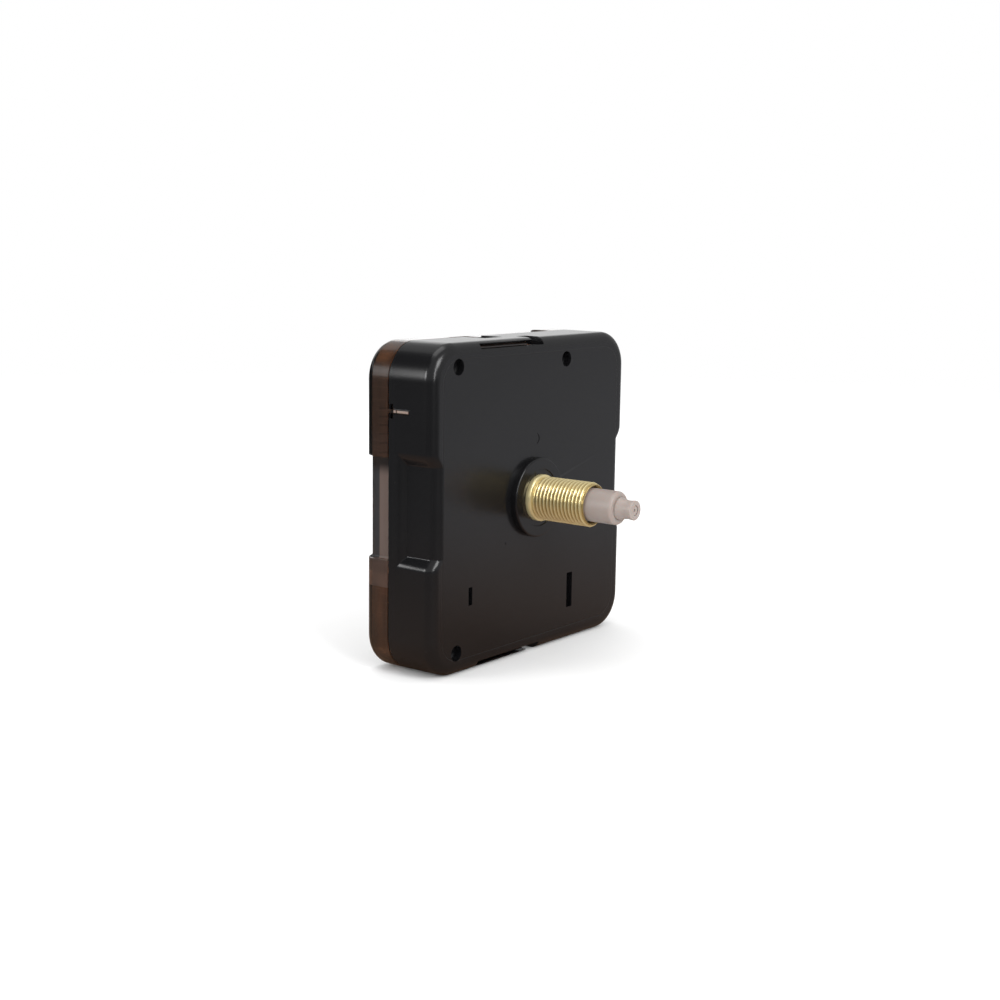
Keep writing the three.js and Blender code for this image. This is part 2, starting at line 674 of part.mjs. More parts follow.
// The minute pipe narrows to a waist outside the hour pipe; behind, it carries the cannon pinion
// and the journal on which the centre wheel grips.
function minuteDrive() {
  const { radius, bore, end, tip, neck, neckStart, neckEnd, journal, rim } = minutePipe;
  const waist = Array.from({ length: steps.curve + 1 }, (_, i) => {
    const share = i / steps.curve;
    return [neck + (radius - neck) * share ** 2, (neckEnd - neckStart) * share - neckEnd];
  });
  const cannonFar = level.cannon + thickness.cannon;
  const far = level.centre + thickness.centre + seated;
  const pipe = turned([
    [bore, -end], [tip - rim, -end], [tip, rim - end], ...waist,
    [radius, level.hour + thickness.hour], [journal, level.cannon], [journal, far], [bore, far],
  ], axis.shaft, sides.pipe);
  return join(pipe, pinion('cannon', modules.setting, axis.shaft, level.cannon, cannonFar, bore));
}

const centreWheel = () =>
  wheel('centre', modules.centre, axis.shaft, minutePipe.journal + seated, false);

function secondsArbor() {
  const { radius, end, hole, holeDepth } = secondsTube;
  const step = level.secondsPinion - seated;
  return turned([
    [0, holeDepth - end], [hole, holeDepth - end], [hole, -end], [radius, -end],
    [radius, step], [arbor.radius, step], [arbor.radius, level.plateFar], [0, level.plateFar],
  ], axis.shaft, sides.bore);
}

const arborPin = (centre) =>
  rod(centre, arbor.radius, facePlate - arbor.seat, level.plateFar, sides.arbor);

// A webbed wheel with the smaller pinion in front of it, both on one arbor
function wheelAndPinion(name, module, centre, small, smallModule, near) {
  const bore = arbor.radius + arbor.play;
  return join(
    wheel(name, module, centre, bore, true),
    pinion(small, smallModule, centre, near, level[name] + seated, bore));
}

const secondsWheel = () => wheelAndPinion(
  'seconds', modules.seconds, axis.shaft, 'secondsPinion', modules.third, level.secondsPinion);
const thirdWheel = () => wheelAndPinion(
  'third', modules.third, axis.third, 'thirdPinion', modules.centre, level.centre - seated);
const intermediateWheel = () => wheelAndPinion(
  'intermediate', modules.motor, axis.intermediate, 'intermediatePinion', modules.seconds,
  level.seconds - seated);

function minuteWheel() {
  const bore = stud.radius + stud.play;
  return join(
    wheel('minute', modules.setting, axis.minute, bore, false),
    pinion('minutePinion', modules.motion, axis.minute, level.hour - seated,
      level.minute + seated, bore));
}

// The rotor pinion is moulded with the hub and foot that carry the magnet.
function rotorPinion() {
  const bore = arbor.radius + arbor.play;
  const near = level.intermediate - seated;
  const far = level.intermediate + thickness.intermediate + seated;
  const foot = magnet.near - seated;
  const carrier = turned([
    [bore, foot - magnet.footThickness], [magnet.foot, foot - magnet.footThickness],
    [magnet.foot, foot], [magnet.bore - seated, foot], [magnet.bore - seated, near], [bore, near],
  ], axis.rotor, sides.bore);
  return join(carrier, pinion('rotor', modules.motor, axis.rotor, near, far, bore));
}

const rotorMagnet = () =>
  tube(axis.rotor, magnet.radius, magnet.bore, magnet.near, magnet.far, sides.drum);

function settingKnob() {
  const gearNear = level.minute - seated;
  const bodyNear = gearNear + knob.gearLength;
  const gear = slab(
    gearOutline('knob', modules.setting, axis.knob, pinionShares), gearNear, bodyNear + seated);
  const shaft = rod(axis.knob, knob.shaft, bodyNear, knob.headNear + seated, sides.pipe);
  const fluted = circle(axis.knob, knob.head, 4 * teeth.knob).map((at, i) => {
    const outwards = at.clone().sub(axis.knob);
    const depth = i % 4 < 2 ? 0 : knob.fluteDepth;
    return axis.knob.clone().add(outwards.setLength(knob.head - depth));
  });
  const head = slab(fluted, knob.headNear, knob.headFar);
  const slotReach = knob.head + overrun;
  const slot = block(
    axis.knob.x - slotReach, axis.knob.x + slotReach, knob.headFar - knob.slotDepth,
    knob.headFar + overrun, axis.knob.y - knob.slot / 2, axis.knob.y + knob.slot / 2);
  const bore = rod(
    axis.knob, knob.stud + stud.play, gearNear - overrun,
    facePlate + knob.studHeight + running, sides.bore);
  return cut(join(gear, shaft, head), slot, bore);
}

// The plate that holds the rear ends of the arbors; its corners reach out past the pillars.
function trainPlateSolid() {
  const stations = [...pillars, axis.rotor];
  const middle = stations.reduce((sum, at) => sum.add(at), point(0, 0))
    .divideScalar(stations.length);
  const corners = stations.map((at) =>
    at.clone().add(at.clone().sub(middle).setLength(trainPlate.margin)));
  const near = level.plate - overrun;
  const far = level.plateFar + overrun;
  const blank = slab(rounded(corners, trainPlate.cornerRadius), level.plate, level.plateFar);
  const pivots = [axis.shaft, axis.third, axis.intermediate, axis.rotor];
  const bosses = pivots.map((at) => rod(
    at, trainPlate.boss, level.plate, level.plateFar + trainPlate.bossHeight, sides.post));
  const bores = [
    ...pivots.map((at) => rod(at, arbor.radius + arbor.play, near, far, sides.arbor)),
    ...pillars.map((at) => rod(at, pillar.pin + seated, near, far, sides.post)),
  ];
  const belowRoof = block(-half, half, near, far, -half, bay.roof + running);
  return cut(join(blank, ...bosses), ...bores, belowRoof);
}

// One half of the stator: an arm down from the coil, a band and half of the lobe round the rotor
function statorPlate(side) {
  const { near, far, reach, armWidth } = stator;
  const { x, y } = axis.rotor;
  const low = y + stator.bandLow;
  const outer = x + side * reach;
  const arm = slab(rounded(rectangle(
    ...sorted(outer, outer - side * armWidth), low, coil.height + armWidth / 2,
  ), stator.cornerRadius), near, far);
  const band = block(...sorted(x, outer - side * armWidth / 2), near, far, low, y + stator.bandHigh);
  const lobe = rod(axis.rotor, stator.lobe, near, far, sides.face);
  const gapFace = x + side * stator.gap / 2;
  const cuts = [
    rod(axis.rotor, magnet.radius + stator.poleGap, near - overrun, far + overrun, sides.drum),
    ...coilPosts.map((at) =>
      rod(at, coilPost.pin + seated, near - overrun, far + overrun, sides.post)),
    block(...sorted(gapFace, gapFace - side * caseSize), near - overrun, far + overrun, -half, half),
  ];
  return cut(join(arm, band, lobe), ...cuts);
}

function coilCore() {
  const { x } = axis.rotor;
  const reach = coil.coreWidth / 2;
  const outline = rounded(rectangle(
    x - stator.reach, x + stator.reach, coil.height - reach, coil.height + reach,
  ), stator.cornerRadius);
  const holes = coilPosts.map((at) => circle(at, coilPost.pin + seated, sides.post));
  return slab(outline, coil.near, coil.far, holes);
}

function coilBobbin() {
  const { flange, flangeThickness, halfLength, coreWidth, tubeWall, play } = coil;
  const spool = coreWidth / 2 + tubeWall;
  const left = axis.rotor.x - halfLength;
  const right = axis.rotor.x + halfLength;
  const body = turnedAcross([
    [0, left], [flange, left], [flange, left + flangeThickness], [spool, left + flangeThickness],
    [spool, right - flangeThickness], [flange, right - flangeThickness], [flange, right],
    [0, right],
  ], coil.axis, sides.drum);
  const reach = coreWidth / 2 + play;
  return cut(body, block(
    left - overrun, right + overrun, coil.near - play, coil.far + play,
    coil.height - reach, coil.height + reach));
}

function coilWinding() {
  const { winding, shoulder } = coil;
  const inner = coil.coreWidth / 2 + coil.tubeWall + seated;
  const reach = coil.halfLength - coil.flangeThickness - seated;
  const left = axis.rotor.x - reach;
  const right = axis.rotor.x + reach;
  return turnedAcross([
    [inner, left], [winding - shoulder, left], [winding, left + shoulder],
    [winding, right - shoulder], [winding - shoulder, right], [inner, right],
  ], coil.axis, sides.drum);
}

function circuitBoard() {
  const { left, right, low, high, near, far } = board;
  const holes = boardPosts.map((at) => circle(at, boardPost.pin + seated, sides.post));
  return slab(rounded(rectangle(left, right, low, high), board.cornerRadius), near, far, holes);
}

function quartzCrystal() {
  const { radius, length, left, height, edge } = crystal;
  const right = left + length;
  return turnedAcross([
    [0, left], [radius - edge, left], [radius, left + edge], [radius, right - edge],
    [radius - edge, right], [0, right],
  ], point(board.far + seated + radius, height), sides.bore);
}

function chipBlob() {
  const { radius, height, x, z } = blob;
  const dome = arc(point(0, 0), 1, 0, 90 * degree, steps.curve).map(({ x: out, y: up }, i) =>
    [i === steps.curve ? 0 : radius * out, board.far + height * up]);
  return turned([[0, board.far], ...dome], point(x, z), sides.hole);
}

// A strip that rises along the face plate and bends back to press on the board
function boardStrip(x, low) {
  const flat = facePlate + seated + sheet / 2;
  const touch = board.near - sheet / 2;
  const bendLow = board.low + seated;
  const line = [
    point(flat, low), point(flat, bendLow), point(touch, bendLow + strip.bend),
    point(touch, bendLow + 2 * strip.bend),
  ];
  return rail(ribbon(line), x - strip.width / 2, x + strip.width / 2);
}

// A plate with a dimple at the right end of the bay; its strip runs in the corner of the bay.
function positiveContact() {
  const outer = bay.end - seated;
  const inner = outer - sheet;
  const near = facePlate + seated;
  const face = block(inner, outer, near, plate.far, plate.low, plate.high);
  const dimple = turnedAcross([
    [0, inner - plate.dimpleHeight], [plate.dimpleTop, inner - plate.dimpleHeight],
    [plate.dimple, inner + sheet / 2], [0, inner + sheet / 2],
  ], bay.axis, sides.bore);
  const along = block(
    strip.positive - strip.width / 2, outer, near, near + sheet, plate.high - sheet,
    bay.high - seated);
  return join(face, dimple, along, boardStrip(strip.positive, plate.high));
}

// A folded leaf at the left end of the bay, sprung against the cell
function negativeContact() {
  const flat = facePlate + seated + sheet / 2;
  const wall = seated + sheet / 2 - bay.end;
  const fold = leaf.reach / 2;
  const line = [
    point(strip.negative, flat), point(wall, flat),
    ...arc(point(wall + fold, plate.far - fold), fold, Math.PI, 0, steps.curve),
    point(wall + leaf.reach, bay.axis.x), point(wall + fold, bay.axis.x / 2),
  ];
  return join(
    upright(ribbon(line), leaf.low, leaf.high), boardStrip(strip.negative, leaf.low));
}

// Finishes, by the look of each piece
const finish = (color, roughness, metalness = 0, opacity = 1) => new THREE.MeshStandardMaterial({
  color, roughness, metalness, opacity, transparent: opacity < 1,
});
const blackPlastic = () => finish(0x2e2e30, 0.42);
const smokePlastic = () => finish(0x4a3224, 0.2, 0, 0.7);
const palePlastic = () => finish(0xb8b0b2, 0.45);
const whitePlastic = () => finish(0xe6e4dc, 0.5);
const brass = () => finish(0xd8bf62, 0.25, 1);
const steel = () => finish(0xb4b6ba, 0.3, 1);
const ferrite = () => finish(0x3a3836, 0.6);
const copper = () => finish(0xb4643a, 0.35, 1);
const tinned = () => finish(0xc9c6bb, 0.3, 1);
const laminate = () => finish(0x9a7a3c, 0.6);
const resin = () => finish(0x161616, 0.3);

const movement = new THREE.Group();

function piece(name, body, material) {
  const { vertProperties, triVerts } = body.getMesh();
  const geometry = new THREE.BufferGeometry();
  geometry.setAttribute('position', new THREE.BufferAttribute(vertProperties, 3));
  geometry.setIndex(new THREE.BufferAttribute(triVerts, 1));
  const mesh = new THREE.Mesh(geometry, material);
  mesh.name = name;
  movement.add(mesh);
}

piece('front_case', frontCase(), blackPlastic());
piece('rear_cover', rearCover(), smokePlastic());
piece('threaded_bushing', threadedBushing(), brass());
piece('hour_wheel', hourWheel(), palePlastic());
piece('minute_pipe', minuteDrive(), palePlastic());
piece('centre_wheel', centreWheel(), whitePlastic());
piece('seconds_arbor', secondsArbor(), steel());
piece('seconds_wheel', secondsWheel(), whitePlastic());
piece('third_wheel', thirdWheel(), whitePlastic());
piece('third_arbor', arborPin(axis.third), steel());
piece('intermediate_wheel', intermediateWheel(), whitePlastic());
piece('intermediate_arbor', arborPin(axis.intermediate), steel());
piece('rotor_pinion', rotorPinion(), whitePlastic());
piece('rotor_magnet', rotorMagnet(), ferrite());
piece('rotor_arbor', arborPin(axis.rotor), steel());
piece('minute_wheel', minuteWheel(), whitePlastic());
piece('setting_knob', settingKnob(), whitePlastic());
piece('train_plate', trainPlateSolid(), palePlastic());
piece('stator_left', statorPlate(-1), steel());
piece('stator_right', statorPlate(1), steel());
piece('coil_core', coilCore(), steel());
piece('coil_bobbin', coilBobbin(), whitePlastic());
piece('coil_winding', coilWinding(), copper());
piece('circuit_board', circuitBoard(), laminate());
piece('quartz_crystal', quartzCrystal(), tinned());
piece('chip_blob', chipBlob(), resin());
piece('positive_contact', positiveContact(), tinned());
piece('negative_contact', negativeContact(), tinned());

// The part stands on the foot of its case, with its origin under the shaft at half its depth.
movement.position.set(0, -caseDepth / 2, half);
const part = new THREE.Group();
part.add(movement);

export default part;
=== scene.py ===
import json
import math

import bmesh
import bpy
from mathutils import Matrix, Vector


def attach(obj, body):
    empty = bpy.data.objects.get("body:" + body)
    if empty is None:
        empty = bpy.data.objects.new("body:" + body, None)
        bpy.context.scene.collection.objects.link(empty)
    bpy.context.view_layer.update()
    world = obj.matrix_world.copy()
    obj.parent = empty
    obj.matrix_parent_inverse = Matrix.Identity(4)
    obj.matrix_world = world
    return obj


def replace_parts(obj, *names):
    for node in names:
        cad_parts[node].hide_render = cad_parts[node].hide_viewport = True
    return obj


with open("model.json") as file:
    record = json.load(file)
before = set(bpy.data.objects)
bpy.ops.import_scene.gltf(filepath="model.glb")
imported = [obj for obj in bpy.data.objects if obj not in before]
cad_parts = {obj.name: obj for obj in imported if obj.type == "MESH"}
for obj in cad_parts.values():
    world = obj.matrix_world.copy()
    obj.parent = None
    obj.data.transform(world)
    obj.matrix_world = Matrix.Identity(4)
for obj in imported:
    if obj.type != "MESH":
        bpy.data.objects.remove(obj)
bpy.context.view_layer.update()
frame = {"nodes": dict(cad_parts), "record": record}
nodes = frame["nodes"]
print("frame loaded:", len(nodes), "pieces")

# Millimetres from here on: x to the right seen from the dial, y the depth behind the dial face
# and z the height over the shaft. place() turns them into the frame's metres.
mm = 0.001
case = {"size": 56, "depth": 15, "split": 9.6}
half = case["size"] / 2
origin = (0, -case["depth"] / 2, half)


def place(x, y, z):
    return Vector((x + origin[0], y + origin[1], z + origin[2])) * mm


# Nodes and their maths
class Value:
    # An output socket that takes part in Python expressions
    def __init__(self, graph, socket):
        self.graph, self.socket = graph, socket

    def worked(self, operation, *terms):
        return self.graph.node("ShaderNodeMath", {"operation": operation}, terms)

    def __add__(self, other):
        return self.worked("ADD", self, other)

    def __radd__(self, other):
        return self.worked("ADD", other, self)

    def __sub__(self, other):
        return self.worked("SUBTRACT", self, other)

    def __rsub__(self, other):
        return self.worked("SUBTRACT", other, self)

    def __mul__(self, other):
        return self.worked("MULTIPLY", self, other)

    def __rmul__(self, other):
        return self.worked("MULTIPLY", other, self)

    def __truediv__(self, other):
        return self.worked("DIVIDE", self, other)

    def __rtruediv__(self, other):
        return self.worked("DIVIDE", other, self)

    def __pow__(self, other):
        return self.worked("POWER", self, other)

    def __neg__(self):
        return 0 - self

    def low(self, other):
        return self.worked("MINIMUM", self, other)

    def high(self, other):
        return self.worked("MAXIMUM", self, other)

    def over(self, other):
        return self.worked("GREATER_THAN", self, other)

    def bearing(self, other):
        return self.worked("ARCTAN2", self, other)

    def sine(self):
        return self.worked("SINE", self)

    def cosine(self):
        return self.worked("COSINE", self)

    def size(self):
        return self.worked("ABSOLUTE", self)

    def part(self):
        return self.worked("FRACT", self)

    def clamped(self):
        return self.low(1).high(0)

    def eased(self):
        return self * self * (3 - self * 2)


class Graph:
    # A node tree, shader or geometry, with one method for every kind of node
    def __init__(self, tree):
        self.tree = tree

    def link(self, value, socket):
        self.tree.links.new(value.socket, socket)

    def node(self, kind, settings=None, values=(), out=0):
        # Gives one output, by its number or name, or a list of them all where out is None
        made = self.tree.nodes.new(kind)
        for name, setting in (settings or {}).items():
            setattr(made, name, setting)
        pairs = values.items() if isinstance(values, dict) else enumerate(values)
        for name, value in pairs:
            if isinstance(value, Value):
                self.link(value, made.inputs[name])
            elif value is not None:
                made.inputs[name].default_value = value
        if out is None:
            return [Value(self, output) for output in made.outputs]
        return Value(self, made.outputs[out])

    def split(self, vector):
        return self.node("ShaderNodeSeparateXYZ", {}, [vector], None)


def tone(red, green, blue):
    # A colour as it looks on a screen, 0 to 255, as the shader's linear values
    return tuple((c / 255 / 12.92 if c < 11 else ((c / 255 + 0.055) / 1.055) ** 2.4)
                 for c in (red, green, blue)) + (1,)


class Finish(Graph):
    # A material: its own constants on the shader, and what varies over the surface by nodes
    def __init__(self, name, **constants):
        self.material = bpy.data.materials.new(name)
        self.material.use_nodes = True
        super().__init__(self.material.node_tree)
        self.shader = self.tree.nodes["Principled BSDF"]
        for socket, value in constants.items():
            self.shader.inputs[socket.replace("_", " ")].default_value = value
        self.place = self.node("ShaderNodeTexCoord", out="Object")

    def noise(self, scale, detail, stretch=None):
        vector = self.place
        if stretch:
            vector = self.node("ShaderNodeMapping", {}, {"Vector": vector, "Scale": stretch})
        return self.node("ShaderNodeTexNoise", {}, {
            "Vector": vector, "Scale": scale / mm, "Detail": detail, "Roughness": 0.55})

    def mixed(self, share, one, other):
        one, other = (tone(*c) if isinstance(c, tuple) else c for c in (one, other))
        settings = {"data_type": "RGBA"}
        return self.node("ShaderNodeMix", settings, {0: share, 6: one, 7: other}, out=2)

    def bump(self, height, depth, strength, normal=None):
        return self.node("ShaderNodeBump", {}, {
            "Height": height, "Distance": depth * mm, "Strength": strength, "Normal": normal})

    def feed(self, **sockets):
        for name, value in sockets.items():
            self.link(value, self.shader.inputs[name.replace("_", " ")])
        return self.material


# Finishes. A noise is (scale per millimetre, detail, stretch), a bump (depth, strength).
mouldedBlack = {
    "dark": (14, 14, 15), "light": (21, 21, 23), "dust": (120, 116, 112),
    "gloss": 0.19, "cloudRough": 0.06, "grainRough": 0.02, "lineRough": 0.1,
    "cloud": (0.05, 4), "grain": (5, 2), "flow": (0.12, 2, (1, 1, 0.35)),
    "speckCell": 4.5, "speck": 0.011,
    "grainBump": (0.012, 0.08), "flowBump": (0.02, 0.1), "lineBump": (0.03, 0.8),
    "line": {"inset": 2.7, "corner": 4.2, "width": 0.09, "dark": 0.3, "behind": 0.1},
}


def specks(use, cell, size):
    # Rare tiny dust specks: the very middles of the cells of a cell pattern
    settings = {"feature": "F1", "distance": "EUCLIDEAN"}
    away = use.node("ShaderNodeTexVoronoi", settings, {"Vector": use.place, "Scale": 1 / cell / mm})
    return 1 - away.over(size)


def faceLine(use, line):
    # The mould's fine line round the dial face, 1 on the line and 0 off it
    x, y, z = use.split(use.place)
    straight = half - line["inset"] - line["corner"]
    over = [((value / mm - shift).size() - straight).high(0)
            for value, shift in ((x, 0), (z, half))]
    away = ((over[0] ** 2 + over[1] ** 2) ** 0.5 - line["corner"]).size()
    onLine = 1 - (away / line["width"]).clamped()
    onFace = 1 - (y / mm).over(line["behind"] - case["depth"] / 2)
    return onLine * onFace


def blackPlastic():
    look = mouldedBlack
    use = Finish("black_plastic", Specular_IOR_Level=0.5)
    cloud, grain = use.noise(*look["cloud"]), use.noise(*look["grain"])
    line = faceLine(use, look["line"])
    colour = use.mixed(cloud - line * look["line"]["dark"], look["dark"], look["light"])
    colour = use.mixed(specks(use, look["speckCell"], look["speck"]), colour, look["dust"])
    rough = look["gloss"] + cloud * look["cloudRough"] + grain * look["grainRough"]
    rough = rough + line * look["lineRough"]
    normal = use.bump(grain, *look["grainBump"])
    normal = use.bump(use.noise(*look["flow"]), *look["flowBump"], normal)
    normal = use.bump(1 - line, *look["lineBump"], normal)
    return use.feed(Base_Color=colour, Roughness=rough, Normal=normal)


smoke = {
    "wall": (120, 79, 51), "streak": (92, 58, 36), "notch": (212, 184, 171), "rear": (10, 9, 8),
    "notchRear": (100, 102, 108), "patch": (130, 104, 92), "lowShade": (78, 50, 34),
    "shade": (64, 54, 50), "armsShade": (52, 36, 26),
    "gloss": 0.28, "haze": (0.3, 3), "hazeRough": 0.06, "clear": 0.86,
    "streaks": (0.2, 3, (1, 2, 0.3)), "contrast": 2, "fewer": 0.5, "streakBump": (0.03, 0.15),
    "ticks": (0.9, 2, (0.3, 0.3, 3)), "tickOver": 0.6, "tickClear": 0.4,
    "sides": 26.1, "armsTo": 9.2, "notchRange": (-8.4, 8.9), "patchRange": (-13.1, -8.4),
    "rearFrom": 13.0, "rearSoft": 0.3, "notchRearFrom": 12.3,
    "lowShadeFrom": -17, "lowShadeSoft": 6, "shadeFrom": 5.4, "shadeSoft": 2.4,
    "dashes": {"pitch": 1.5, "share": 0.8, "range": (9.2, 18), "depth": 11.6, "dark": 0.35,
               "uneven": (0.15, 1)},
}


def between(value, ends):
    return value.over(ends[0]) * (1 - value.over(ends[1]))


def smokePlastic():
    # Clear brown plastic, matt inside and glossy outside. The wall is thinner in the notches of its
    # sides, where its pale tone is painted light, with a painted bluish reflection towards the rear
    # and a painted shadow under the notches' top ends. Near black painted shade lies on the sides
    # where one looks along the rear wall, and painted shade on the latch arms inside the case and
    # towards the bottom.
    look, dash = smoke, smoke["dashes"]
    use = Finish("smoke_plastic", Transmission_Weight=look["clear"], IOR=1.49, Coat_Weight=1,
                 Coat_Roughness=0.04)
    ticks = use.noise(*look["ticks"]).over(look["tickOver"]) * -look["tickClear"]
    streaks = use.noise(*look["streaks"]) * look["contrast"] - look["fewer"] + ticks
    streaks = streaks.clamped()
    x, y, z = use.split(use.place)
    height, depth = z / mm - half, y / mm + case["depth"] / 2
    onSide = (x / mm).size().over(look["sides"])
    # Painted shade: the sides turn near black behind the notches, where one looks along the rear
    # wall
    rear = ((depth - look["rearFrom"]) / look["rearSoft"]).clamped() * onSide
    # Painted shade, darker towards the bottom of the cover
    lowShade = ((look["lowShadeFrom"] - height) / look["lowShadeSoft"]).clamped()
    # Painted shade on the latch arms, which sit inside the case
    armsShade = 1 - depth.over(look["armsTo"])
    dashes = (height / dash["pitch"] + use.noise(*dash["uneven"])).part().over(dash["share"])
    dashes = dashes * between(height, dash["range"]) * (1 - depth.over(dash["depth"]))
    dashes = dashes * onSide * dash["dark"]
    patch = between(height, look["patchRange"]) * onSide
    wall = use.mixed(streaks, look["wall"], look["streak"])
    # The wall takes painted shade towards the bottom, on the latch arms and behind the notches; the
    # dashes share that near black
    for share, laid in ((lowShade, "lowShade"), (armsShade, "armsShade"), (dashes, "rear"), (patch, "patch"),
                        (rear * (1 - patch), "rear")):
        wall = use.mixed(share, wall, look[laid])
    # Painted light in the side notches: a pale tone, with a painted bluish reflection towards the
    # rear
    notchLightAndShade = use.mixed(depth.over(look["notchRearFrom"]) * onSide, look["notch"], look["notchRear"])
    # Painted shadow under the top end of each notch
    shade = ((height - look["shadeFrom"]) / look["shadeSoft"]).clamped().eased()
    notchLightAndShade = use.mixed(shade, notchLightAndShade, look["shade"])
    colour = use.mixed(between(height, look["notchRange"]) * onSide, wall, notchLightAndShade)
    rough = look["gloss"] + use.noise(*look["haze"]) * look["hazeRough"]
    return use.feed(Base_Color=colour, Roughness=rough,
                    Normal=use.bump(streaks, *look["streakBump"]))


plain = {
    "cloud": (0.25, 4), "haze": (2.5, 2), "hazeRough": 0.12, "grain": (7, 2),
    "grainBump": (0.01, 0.3),
}
pipes = {"fresh": (164, 154, 149), "shaded": (144, 130, 122), "gloss": 0.33}
white = {"fresh": (214, 212, 202), "shaded": (192, 188, 176), "gloss": 0.45}
tabs = {"fresh": (146, 128, 118), "shaded": (120, 102, 92), "gloss": 0.3}


def plainPlastic(name, look):
    use = Finish(name, Subsurface_Weight=0.12, Subsurface_Scale=0.0006, Specular_IOR_Level=0.45)
    colour = use.mixed(use.noise(*plain["cloud"]), look["fresh"], look["shaded"])
    rough = look["gloss"] + use.noise(*plain["haze"]) * plain["hazeRough"]
    grain = use.bump(use.noise(*plain["grain"]), *plain["grainBump"])
    return use.feed(Base_Color=colour, Roughness=rough, Normal=grain)


brassTone = {
    "bright": (252, 238, 188), "deep": (244, 224, 164), "groove": (172, 142, 78),
    "crest": 3.82, "root": 3.46, "threadTo": -2.1, "dark": 0.75,
    "stains": (0.3, 4), "turned": (0.5, 2, (1, 3, 1)), "turnedBump": (0.002, 0.05),
    "gloss": 0.15, "stainRough": 0.08, "turnedRough": 0.06,
}


def brass():
    # Bright brass with the marks of turning round its axis, with painted shade down in the thread
    look = brassTone
    use = Finish("brass", Metallic=0.72)
    stains, turned = use.noise(*look["stains"]), use.noise(*look["turned"])
    x, y, z = use.split(use.place)
    away = ((x / mm) ** 2 + (z / mm - half) ** 2) ** 0.5
    # Painted shade: the colour darkens from the crest towards the root of the thread
    groove = ((look["crest"] - away) / (look["crest"] - look["root"])).clamped()
    onThread = 1 - (y / mm - origin[1]).over(look["threadTo"])
    colour = use.mixed(stains, look["bright"], look["deep"])
    colour = use.mixed(groove * onThread * look["dark"], colour, look["groove"])
    rough = look["gloss"] + stains * look["stainRough"] + turned * look["turnedRough"]
    return use.feed(Base_Color=colour, Roughness=rough,
                    Normal=use.bump(turned, *look["turnedBump"]))


metals = {
    "stains": (0.35, 4), "brushedRough": 0.18, "brushedBump": (0.01, 0.3),
    "steel": {"bright": (196, 197, 200), "deep": (160, 161, 166), "gloss": 0.24,
              "brushed": (1.5, 3, (1, 1, 12))},
    "tinned": {"bright": (206, 203, 192), "deep": (176, 172, 160), "gloss": 0.2,
               "brushed": (1.5, 3, (10, 1, 1))},
}


def metal(name):
    look = metals[name]
    use = Finish(name, Metallic=1)
    colour = use.mixed(use.noise(*metals["stains"]), look["bright"], look["deep"])
    brushed = use.noise(*look["brushed"])
    return use.feed(Base_Color=colour, Roughness=look["gloss"] + brushed * metals["brushedRough"],
                    Normal=use.bump(brushed, *metals["brushedBump"]))


ferriteTone = {
    "dark": (46, 45, 44), "light": (70, 68, 66), "grain": (4, 4), "gloss": 0.5,
    "grainRough": 0.25, "grainBump": (0.02, 0.5),
}


def ferrite():
    look = ferriteTone
    use = Finish("ferrite", Metallic=0.25)
    grain = use.noise(*look["grain"])
    return use.feed(Base_Color=use.mixed(grain, look["dark"], look["light"]),
                    Roughness=look["gloss"] + grain * look["grainRough"],
                    Normal=use.bump(grain, *look["grainBump"]))


copperTone = {
    "bright": (206, 112, 62), "deep": (146, 66, 34), "perTurn": 3.1, "turnShare": 0.5,
    "stains": (0.8, 3), "stainShare": 0.6, "gloss": 0.24, "turnRough": 0.12,
}


def copperWire():
    # Lacquered wire: every turn is a shade of its own
    look = copperTone
    use = Finish("copper", Metallic=1, Coat_Weight=0.6, Coat_Roughness=0.12)
    across = use.split(use.place)[0]
    turns = ((across / mm) * look["perTurn"]).part()
    share = turns * look["turnShare"] + use.noise(*look["stains"]) * look["stainShare"]
    return use.feed(Base_Color=use.mixed(share.clamped(), look["bright"], look["deep"]),
                    Roughness=look["gloss"] + turns * look["turnRough"])


boardTone = {
    "light": (150, 112, 58), "dark": (116, 84, 42), "track": (178, 128, 76),
    "across": 0.55, "wave": 0.42, "swing": 0.35, "trackOver": 0.33,
    "breaks": (0.16, 0), "breakOver": 0.46, "fibre": (3, 3, (6, 1, 1)),
    "gloss": 0.42, "fibreRough": 0.15, "fibreHigh": 0.1, "trackBump": (0.04, 0.6),
}


def laminate():
    # Brown laminate with copper tracks under its lacquer
    look = boardTone
    use = Finish("laminate", Specular_IOR_Level=0.5, Coat_Weight=0.25, Coat_Roughness=0.2)
    x, _, z = use.split(use.place)
    swing = (z / mm * look["wave"]).sine() * look["swing"]
    paths = ((x / mm * look["across"] + swing).part() - 0.5).size()
    tracks = paths.over(look["trackOver"]) * use.noise(*look["breaks"]).over(look["breakOver"])
    fibre = use.noise(*look["fibre"])
    colour = use.mixed(tracks, use.mixed(fibre, look["light"], look["dark"]), look["track"])
    return use.feed(Base_Color=colour, Roughness=look["gloss"] + fibre * look["fibreRough"],
                    Normal=use.bump(tracks + fibre * look["fibreHigh"], *look["trackBump"]))


resinTone = {
    "dark": (16, 16, 17), "light": (30, 29, 29), "dust": (1.2, 4), "gloss": 0.22,
    "dustRough": 0.12, "dustBump": (0.03, 0.2),
}


def resin():
    look = resinTone
    use = Finish("resin", Coat_Weight=0.4, Coat_Roughness=0.08)
    dust = use.noise(*look["dust"])
    return use.feed(Base_Color=use.mixed(dust, look["dark"], look["light"]),
                    Roughness=look["gloss"] + dust * look["dustRough"],
                    Normal=use.bump(dust, *look["dustBump"]))


